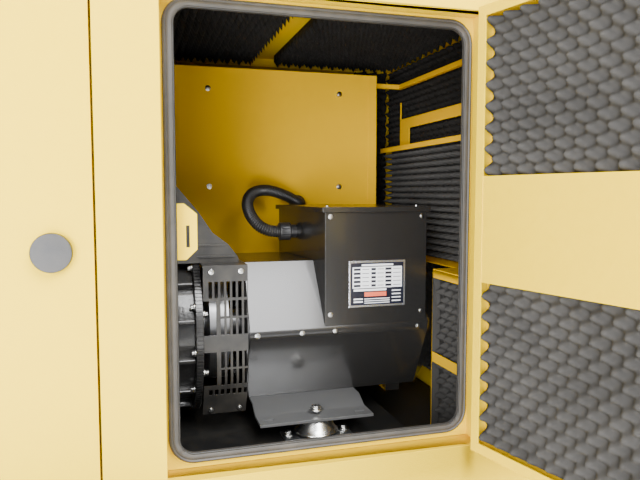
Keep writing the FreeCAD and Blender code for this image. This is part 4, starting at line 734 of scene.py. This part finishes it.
cup_profile = [(0.012, 0.0385), (0.012, 0.0395), (0.0285, 0.0395), (0.0310, 0.0385), (0.0335, 0.0350),
               (0.0375, 0.0280), (0.0420, 0.0190), (0.0460, 0.0125), (0.0485, 0.0105), (0.0502, 0.0085),
               (0.0505, 0.0065), (0.0492, 0.0050), (0.0470, 0.0050), (0.0450, 0.0062), (0.0440, 0.0080),
               (0.0400, 0.0170), (0.0350, 0.0270), (0.0310, 0.0340)]
cup_mesh = mesh_only(spun("mount_cup", cup_profile))
core_profile = [(0.010, 0.004), (0.038, 0.004), (0.040, 0.010), (0.033, 0.022), (0.029, 0.034),
                (0.010, 0.036)]
core_mesh = mesh_only(spun("mount_core", core_profile))
base_height = 0.0046
cup_lift = 0.0045
bolt_inset = 0.0125
bolt_lift = 0.005
nut_drop = 0.012
widest_foot = 0.07
foot_width = 0.06
cups = []
cores = []
bolts = []
bases = []
for mount_low, mount_high in loose_boxes("vibration_mounts"):
    centre = (mount_low + mount_high) / 2
    ground = Vector((centre.x, centre.y, mount_low.z + cup_lift))
    cups.append((cup_mesh, Matrix.Translation(ground)))
    cores.append((core_mesh, Matrix.Translation(ground)))
    half = (mount_high.x - mount_low.x) / 2
    for side in (-1, 1):
        seat = Vector((centre.x + side * (half - bolt_inset), centre.y, mount_low.z + bolt_lift))
        bolts.append((screw_mesh, Matrix.Translation(seat) @ Matrix.Diagonal((0.0125, 0.0125, 0.011, 1))))
    top = Vector((centre.x, centre.y, mount_high.z - nut_drop))
    bolts.append((screw_mesh, Matrix.Translation(top) @ Matrix.Diagonal((0.0165, 0.0165, 0.0115, 1))))
    width = mount_high.y - mount_low.y
    if width >= widest_foot:
        width = foot_width
    base = block((2 * half, width, base_height), (centre.x, centre.y, mount_low.z + 0.0024), 0.0012)
    bases.append((mesh_only(base), Matrix.Identity(4)))
stand(cups, "mount_cups", zinc, "trailer", "zinc", "vibration_mounts")
stand(cores, "mount_rubbers", mount_rubber, "trailer", "black_rubber")
base_zinc = coated("mount_base", (0.50, 0.51, 0.52), 0.3, metallic=1.0, dust=0.15)
stand(bases, "mount_bases", base_zinc, "trailer", "zinc")
stand(bolts, "mount_bolts", zinc, "trailer", "zinc")

# ---------------------------------------------------------------- flywheel housing
# A painted cast housing with a rough skin and a wide machined flange whose edge is finely toothed.
cast = mottled("cast_paint", (0.010, 0.010, 0.0105), (0.040, 0.038, 0.036), ("Noise", 22, 8),
               ("Noise", 160, 4), (0.8, 0.0012), 0.32, gloss=0.5)
softened("flywheel_housing", 0.0015, cast)

bell_low, bell_high = corners("flywheel_housing")
axis = (bell_low + bell_high) / 2
outer = (bell_high.z - bell_low.z) / 2
rib_count = 14
stud_count = 12
tooth_count = 150


def round_flange(count, start, back, rise):
    """The turn and the place of each of a ring of pieces, behind the flange's face and above its edge."""
    for step in range(count):
        turn = 2 * math.pi * (step + start) / count
        outward = Vector((0, math.cos(turn), math.sin(turn)))
        yield turn, Vector((bell_high.x - back, axis.y, axis.z)) + outward * (outer + rise)


def turned(spot, turn):
    """The matrix that puts a piece at a spot with its height along that spot's radius."""
    return Matrix.Translation(spot) @ Matrix.Rotation(turn - math.pi / 2, 4, "X")


rib_mesh = mesh_only(block((0.082, 0.010, 0.022), rounding=0.003, segments=3))
ribs = [(rib_mesh, turned(spot, turn)) for turn, spot in round_flange(rib_count, 0.5, 0.0585, -0.0135)]
stand(ribs, "housing_ribs", cast, "trailer", "engine_paint")
studs = [screwed(spot, (-1, 0, 0), 0.0085, 0.011)
         for turn, spot in round_flange(stud_count, 0.25, 0.0165, -0.009)]
stand(studs, "housing_studs", zinc, "trailer", "zinc")
tooth_mesh = mesh_only(block((0.0135, 0.0046, 0.0030)))
teeth = [(tooth_mesh, turned(spot, turn)) for turn, spot in round_flange(tooth_count, 0, 0.008, 0.0008)]
stand(teeth, "housing_teeth", cast, "trailer", "engine_paint")

# ---------------------------------------------------------------- cable conduit and its fittings
# Corrugated black nylon conduit that leaves the terminal box through a ribbed nut, makes one tall
# loop and enters the control compartment through a gland.
nylon = coated("black_nylon", (0.016, 0.016, 0.018), 0.34, peel=0.2, dust=0.08)
# The route is in the trailer's own place, with X from the middle of the canopy, and is shifted to the row.
route = [(0.470, 0.020, 1.052), (0.436, 0.020, 1.052), (0.404, 0.046, 1.084), (0.398, 0.092, 1.126),
         (0.424, 0.134, 1.154), (0.470, 0.160, 1.160), (0.520, 0.176, 1.146), (0.560, 0.188, 1.127),
         (0.575, 0.206, 1.121), (0.575, 0.232, 1.121)]
shift = Vector((0.590, 0.183593, 0))
curve_data = bpy.data.curves.new("conduit_route", "CURVE")
curve_data.dimensions = "3D"
curve_data.resolution_u = 40
spline = curve_data.splines.new("NURBS")
spline.points.add(len(route) - 1)
for point, spot in zip(spline.points, route):
    point.co = (*(Vector(spot) + shift), 1)
spline.order_u = 3
spline.use_endpoint_u = True
curve = bpy.data.objects.new("conduit_route", curve_data)
bpy.context.collection.objects.link(curve)
bpy.context.view_layer.update()
line_mesh = bpy.data.meshes.new_from_object(curve)
line = [vertex.co.copy() for vertex in line_mesh.vertices]
bpy.data.objects.remove(curve)
bpy.data.meshes.remove(line_mesh)
rib_pitch = 0.0058
stations_per_rib = 6
sides_round = 28
conduit_radius = 0.0155
rib_depth = 0.0022


def evenly(points, spacing):
    """Points at even spacing along a line."""
    spaced = [points[0]]
    left = spacing
    for first, second in zip(points, points[1:]):
        span = (second - first).length
        walked = 0
        while span - walked >= left:
            walked += left
            spaced.append(first.lerp(second, walked / span))
            left = spacing
        left -= span - walked
    spaced.append(points[-1])
    return spaced


stations = evenly(line, rib_pitch / stations_per_rib)
side = Vector((0, 0, 1))
rings = []
for index, spot in enumerate(stations):
    ahead = (stations[min(index + 1, len(stations) - 1)] - stations[max(index - 1, 0)]).normalized()
    side = (side - ahead * side.dot(ahead)).normalized()
    other = ahead.cross(side)
    swell = 0.5 + 0.5 * math.cos(2 * math.pi * index / stations_per_rib)
    radius = conduit_radius - rib_depth * (1 - swell ** 0.6)
    turns = [2 * math.pi * step / sides_round for step in range(sides_round)]
    rings.append([spot + side * radius * math.cos(turn) + other * radius * math.sin(turn) for turn in turns])
conduit = swept("conduit", stations, rings, False)
dress(conduit, nylon, "trailer", "conduit_black", "cable_conduit")
reach = sum((second - first).length for first, second in zip(stations, stations[1:]))

# The fittings: a ribbed union nut on the terminal box and a hexagon gland on the yellow panel.
nut_boxes = loose_boxes("conduit_glands")
(nut_low, nut_high), (gland_low, gland_high) = nut_boxes[0], nut_boxes[1]


def ribbed_collar(name, start, direction, radius, length, ribs, bore):
    """A moulded nut with grip ribs round it and a smooth band at each end."""
    ahead = Vector(direction)
    side = ahead.orthogonal().normalized()
    other = ahead.cross(side)
    profile = [(0.0, 0.93), (0.06, 1.0), (0.16, 1.0), (0.2, 0.96), (0.8, 0.96), (0.84, 1.0), (0.94, 1.0),
               (1.0, 0.93)]
    rings = []
    count = ribs * 4
    turns = [2 * math.pi * step / count for step in range(count)]
    for share, scale in profile:
        ring = []
        for step, turn in enumerate(turns):
            tooth = 0.045 if 0.18 < share < 0.82 and step % 4 < 2 else 0
            reach_out = radius * (scale + tooth)
            ring.append(start + ahead * length * share + side * reach_out * math.cos(turn)
                        + other * reach_out * math.sin(turn))
        rings.append(ring)
    inner = []
    for share in (1.0, 0.0):
        inner.append([start + ahead * length * share + side * bore * math.cos(turn)
                      + other * bore * math.sin(turn) for turn in turns])
    return swept(name, rings + inner, rings + inner, True)


nut_centre = Vector((nut_low.x, (nut_low.y + nut_high.y) / 2, (nut_low.z + nut_high.z) / 2))
nut = ribbed_collar("union_nut", nut_centre, (1, 0, 0), 0.0225, 0.030, 22, 0.012)
neck = ribbed_collar("union_neck", nut_centre + Vector((0.030, 0, 0)), (1, 0, 0), 0.0165, 0.028, 12, 0.012)
gland_centre = Vector(((gland_low.x + gland_high.x) / 2, gland_low.y, (gland_low.z + gland_high.z) / 2))
gland = ribbed_collar("panel_gland", gland_centre, (0, 1, 0), 0.023, 0.013, 18, 0.012)
for made in (nut, neck, gland):
    dress(made, nylon, "trailer", "gland_black", "conduit_glands")

# ---------------------------------------------------------------- wheels
# Light commercial tyres with four rows of staggered tread blocks and ribbed sidewalls, on
# galvanised disc rims held by five nuts round a turned hub.
rubber = coated("black_rubber", (0.018, 0.018, 0.018), 0.62, peel=0.6, dust=0.3)
galvanised = coated("galvanised", (0.50, 0.51, 0.52), 0.40, peel=0.6, dust=0.2, metallic=0.9)
tread_pitches = 44
tread_depth = 0.008
tread_rows = (-0.60, -0.20, 0.20, 0.60)
tread_play = 0.0008
nut_count = 5
nut_circle = 0.088
nut_seat = 0.0695
for side, wheel in (("near", "near_wheel"), ("far", "far_wheel")):
    low, high = corners("tyre_" + side)
    centre = (low + high) / 2
    radius = (high.z - low.z) / 2
    half = (high.y - low.y) / 2
    outward = -1 if side == "near" else 1
    rim_low, rim_high = corners("wheel_rim_" + side)
    bead = (rim_high.z - rim_low.z) / 2 + 0.0006
    outline = [(bead, 0.70), (bead + 0.006, 0.82), (bead + 0.030, 0.95), (bead + 0.044, 0.975),
               (bead + 0.046, 0.995), (bead + 0.052, 0.995), (bead + 0.054, 0.975), (radius - 0.034, 0.955),
               (radius - 0.016, 0.88), (radius - tread_depth, 0.78)]
    profile = [(reach, share * half) for reach, share in outline]
    profile += [(reach, -share * half) for reach, share in reversed(outline)]
    tyre = spun("tyre_skin_" + side, profile, 96)
    tyre.data.transform(facing(centre, (0, 1, 0)))
    dress(tyre, rubber, wheel, "tyre_rubber", "tyre_" + side)
    tread_mesh = mesh_only(block((0.028, 0.34 * half, tread_depth), rounding=0.0014, segments=1))
    tread_middle = radius - tread_play - tread_depth / 2
    blocks = []
    for row, share in enumerate(tread_rows):
        for step in range(tread_pitches):
            turn = 2 * math.pi * (step + 0.5 * (row % 2)) / tread_pitches
            spot = centre + Vector((math.sin(turn), 0, math.cos(turn))) * tread_middle
            spot.y += share * half
            blocks.append((tread_mesh, Matrix.Translation(spot) @ Matrix.Rotation(turn, 4, "Y")))
    stand(blocks, "tyre_tread_" + side, rubber, wheel, "tyre_rubber")
    softened("wheel_rim_" + side, 0.0015, galvanised)
    nuts = []
    for step in range(nut_count):
        turn = 2 * math.pi * step / nut_count
        spot = centre + Vector((math.sin(turn), 0, math.cos(turn))) * nut_circle
        spot.y = (rim_low.y + nut_seat) if side == "near" else (rim_high.y - nut_seat)
        nuts.append(screwed(spot, (0, outward, 0), 0.0125, 0.014))
    stand(nuts, "wheel_nuts_" + side, zinc, wheel, "galvanised")


# ---------------------------------------------------------------- control fascia
# A grey fascia with a dark glass display, push keys, three round meters with needles, and a moulded breaker with
# its toggle. Nothing is written on any of them.
def bricks(name, boxes, material, body, slot, rounding=0.0008):
    """Rounded blocks from (low corner, high corner) pairs, joined into one piece."""
    parts = []
    for corner_low, corner_high in boxes:
        size = Vector(corner_high) - Vector(corner_low)
        centre = (Vector(corner_low) + Vector(corner_high)) / 2
        parts.append((mesh_only(block(size, centre, rounding)), Matrix.Identity(4)))
    return stand(parts, name, material, body, slot)


fascia = coated("fascia_grey", (0.36, 0.37, 0.38), 0.45, peel=0.3)
glass = coated("display_glass", (0.010, 0.022, 0.018), 0.08, peel=0.0, dust=0.0, gloss=0.6)
key_black = coated("key_black", (0.02, 0.02, 0.022), 0.4, peel=0.2)
dial_white = coated("dial_white", (0.75, 0.76, 0.74), 0.5, peel=0.05)
blue = coated("socket_blue", (0.02, 0.09, 0.42), 0.32, peel=0.15)
red = coated("knob_red", (0.55, 0.012, 0.012), 0.28, peel=0.1)
green = coated("lamp_green", (0.03, 0.42, 0.09), 0.25, peel=0.1)
softened("control_fascia", 0.0015, fascia)
plate, first_meter, display, second_meter, third_meter, breaker = loose_boxes("control_fascia")
low, high = display
face = high.y
glass_low = (low.x + 0.028, face - 0.001, high.z - 0.078)
glass_high = (high.x - 0.028, face + 0.0015, high.z - 0.014)
bricks("display_glass", [(glass_low, glass_high)], glass, "trailer", "fascia_grey")
keys = []
for step in range(6):
    left = low.x + 0.020 + 0.0246 * step
    keys.append(((left, face - 0.001, low.z + 0.012), (left + 0.017, face + 0.003, low.z + 0.028)))
bricks("display_keys", keys, key_black, "trailer", "fascia_grey")
bezel_profile = [(0.029, -0.001), (0.034, -0.001), (0.034, 0.004), (0.031, 0.006), (0.029, 0.004)]
for number, (low, high) in enumerate((first_meter, second_meter, third_meter)):
    centre = Vector(((low.x + high.x) / 2, high.y, (low.z + high.z) / 2))
    bezel = spun(f"meter_bezel_{number}", bezel_profile)
    bezel.data.transform(facing(centre, (0, 1, 0)))
    dress(bezel, key_black, "trailer", "fascia_grey")
    face_low = centre - Vector((0.0255, 0.001, 0.0145))
    face_high = centre + Vector((0.0255, 0.0012, 0.0165))
    bricks(f"meter_face_{number}", [(face_low, face_high)], dial_white, "trailer", "fascia_grey")
    needle = mesh_only(block((0.0012, 0.0010, 0.024)))
    lean = Matrix.Rotation(math.radians(40 - 18 * number), 4, "Y")
    seated = Matrix.Translation(centre + Vector((0, 0.0022, 0))) @ lean
    stand([(needle, seated)], f"meter_needle_{number}", red, "trailer", "fascia_grey")
low, high = breaker
toggle_low = (low.x + 0.030, high.y - 0.002, low.z + 0.045)
toggle_high = (high.x - 0.030, high.y + 0.0045, high.z - 0.045)
bricks("breaker_toggle", [(toggle_low, toggle_high)], key_black, "trailer", "fascia_grey", 0.002)
low, high = plate
lamps = []
for step in range(5):
    spot = Vector((low.x + 0.250 + 0.028 * step, high.y, high.z - 0.115))
    lamps.append(screwed(spot, (0, 1, 0), 0.008, 0.006))
stand(lamps, "status_lamps", green, "trailer", "fascia_grey")
softened("socket_outlets", 0.0015, blue)
softened("emergency_stop", 0.0012, red)

# ---------------------------------------------------------------- rear lamps
# A black housing with a ribbed red lens and an amber one side by side.
lens_red = coated("lens_red", (0.50, 0.008, 0.008), 0.12, peel=0.05, dust=0.05, gloss=0.5)
lens_amber = coated("lens_amber", (0.80, 0.22, 0.008), 0.12, peel=0.05, dust=0.05, gloss=0.5)
housing_depth = 0.012
red_share = 0.62
rib_width = 0.003
rib_spacing = 0.005
for number, (low, high) in enumerate(loose_boxes("rear_lamps")):
    step_x = low.x + housing_depth
    housing_box = ((low.x, low.y, low.z), (step_x, high.y, high.z))
    housing = bricks(f"lamp_housing_{number}", [housing_box], key_black, "trailer", "lamp_red", 0.002)
    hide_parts("rear_lamps")
    split = low.y + (high.y - low.y) * (red_share if number == 0 else 1 - red_share)
    red_side, amber_side = ((low.y + 0.004, split - 0.001), (split + 0.001, high.y - 0.004))
    if number:
        red_side, amber_side = amber_side, red_side
    for name, (start, stop), lens in (("red", red_side, lens_red), ("amber", amber_side, lens_amber)):
        ribs = [((step_x - 0.001, start, low.z + 0.004), (high.x - 0.002, stop, high.z - 0.004))]
        count = int((stop - start) / rib_spacing)
        for step in range(1, count):
            left = start + (stop - start) * step / count
            ribs.append(((high.x - 0.003, left - rib_width / 2, low.z + 0.008),
                         (high.x - 0.0008, left + rib_width / 2, high.z - 0.008)))
        bricks(f"lamp_{name}_{number}", ribs, lens, "trailer", "lamp_red", 0.0005)

# ---------------------------------------------------------------- chassis, engine and fittings
# Painted, galvanised and cast parts keep their frame shapes with edges rounded as each is made.
chassis_paint = coated("chassis_paint", (0.035, 0.036, 0.038), 0.42, peel=0.35, dust=0.25)
deck_paint = coated("deck_paint", (0.008, 0.008, 0.008), 0.5, peel=0.3, dust=0.03, shine=0.2)
steel = coated("machined_steel", (0.48, 0.48, 0.49), 0.35, peel=0.1, dust=0.1, metallic=1.0)
engine_paint = coated("engine_paint", (0.030, 0.032, 0.035), 0.40, peel=0.9, dust=0.2)
hot_steel = coated("hot_steel", (0.20, 0.17, 0.14), 0.6, peel=0.9, dust=0.4, metallic=0.6)
finishes = {
    "chassis_grey": (chassis_paint, 0.0020), "tank_black": (deck_paint, 0.0015), "zinc": (zinc, 0.0010),
    "bare_steel": (steel, 0.0008), "galvanised": (galvanised, 0.0010), "black_rubber": (rubber, 0.0020),
    "engine_paint": (engine_paint, 0.0030), "exhaust_steel": (hot_steel, 0.0010),
    "radiator_black": (guard_grey, 0.0010), "battery_case": (nylon, 0.0020), "latch_black": (nylon, 0.0012),
    "fan_plastic": (nylon, 0.0006), "gland_black": (nylon, 0.0010),
}
plain = ("chassis_frame", "axle", "base_frame", "fuel_tank", "alternator_stator", "rotor_shaft",
         "engine_block", "cylinder_head", "engine_auxiliaries", "exhaust_system", "radiator", "battery",
         "lifting_frame", "cooling_fan", "rear_door_latch", "front_door_latch", "jockey_inner_tube",
         "jockey_fork", "jockey_wheel", "jockey_crank", "prop_stand_near", "prop_stand_far",
         "handbrake_lever", "coupling_head", "coupling_handle", "fuel_cap")
for name in plain:
    material, width = finishes[slot_names[name]]
    softened(name, width, material)

# Two rows of domed screws hold the engine's rocker cover.
cover_low, cover_high = loose_boxes("cylinder_head")[1]
head_bolts = []
for step in range(6):
    along_x = cover_low.x + 0.03 + (cover_high.x - cover_low.x - 0.06) * step / 5
    for across_y in (cover_low.y + 0.018, cover_high.y - 0.018):
        seat = Vector((along_x, across_y, cover_high.z))
        head_bolts.append((screw_mesh, Matrix.Translation(seat) @ Matrix.Diagonal((0.009, 0.009, 0.009, 1))))
stand(head_bolts, "cover_bolts", zinc, "trailer", "zinc")

# Frame solids that stay keep a finish of their slot, for the few places they still show.
slot_finish = {slot: pair[0] for slot, pair in finishes.items()}
slot_finish.update({
    "tyre_rubber": rubber, "fascia_grey": fascia, "socket_blue": blue, "stop_red": red, "lamp_red": lens_red,
    "plate_metal": zinc, "canopy_yellow": yellow, "set_black": black, "guard_grey": guard_grey,
    "foam": foam_grey, "seal_rubber": seal_rubber, "conduit_black": nylon,
})
for name, thing in nodes.items():
    thing.data.materials.clear()
    thing.data.materials.append(slot_finish[slot_names[name]])
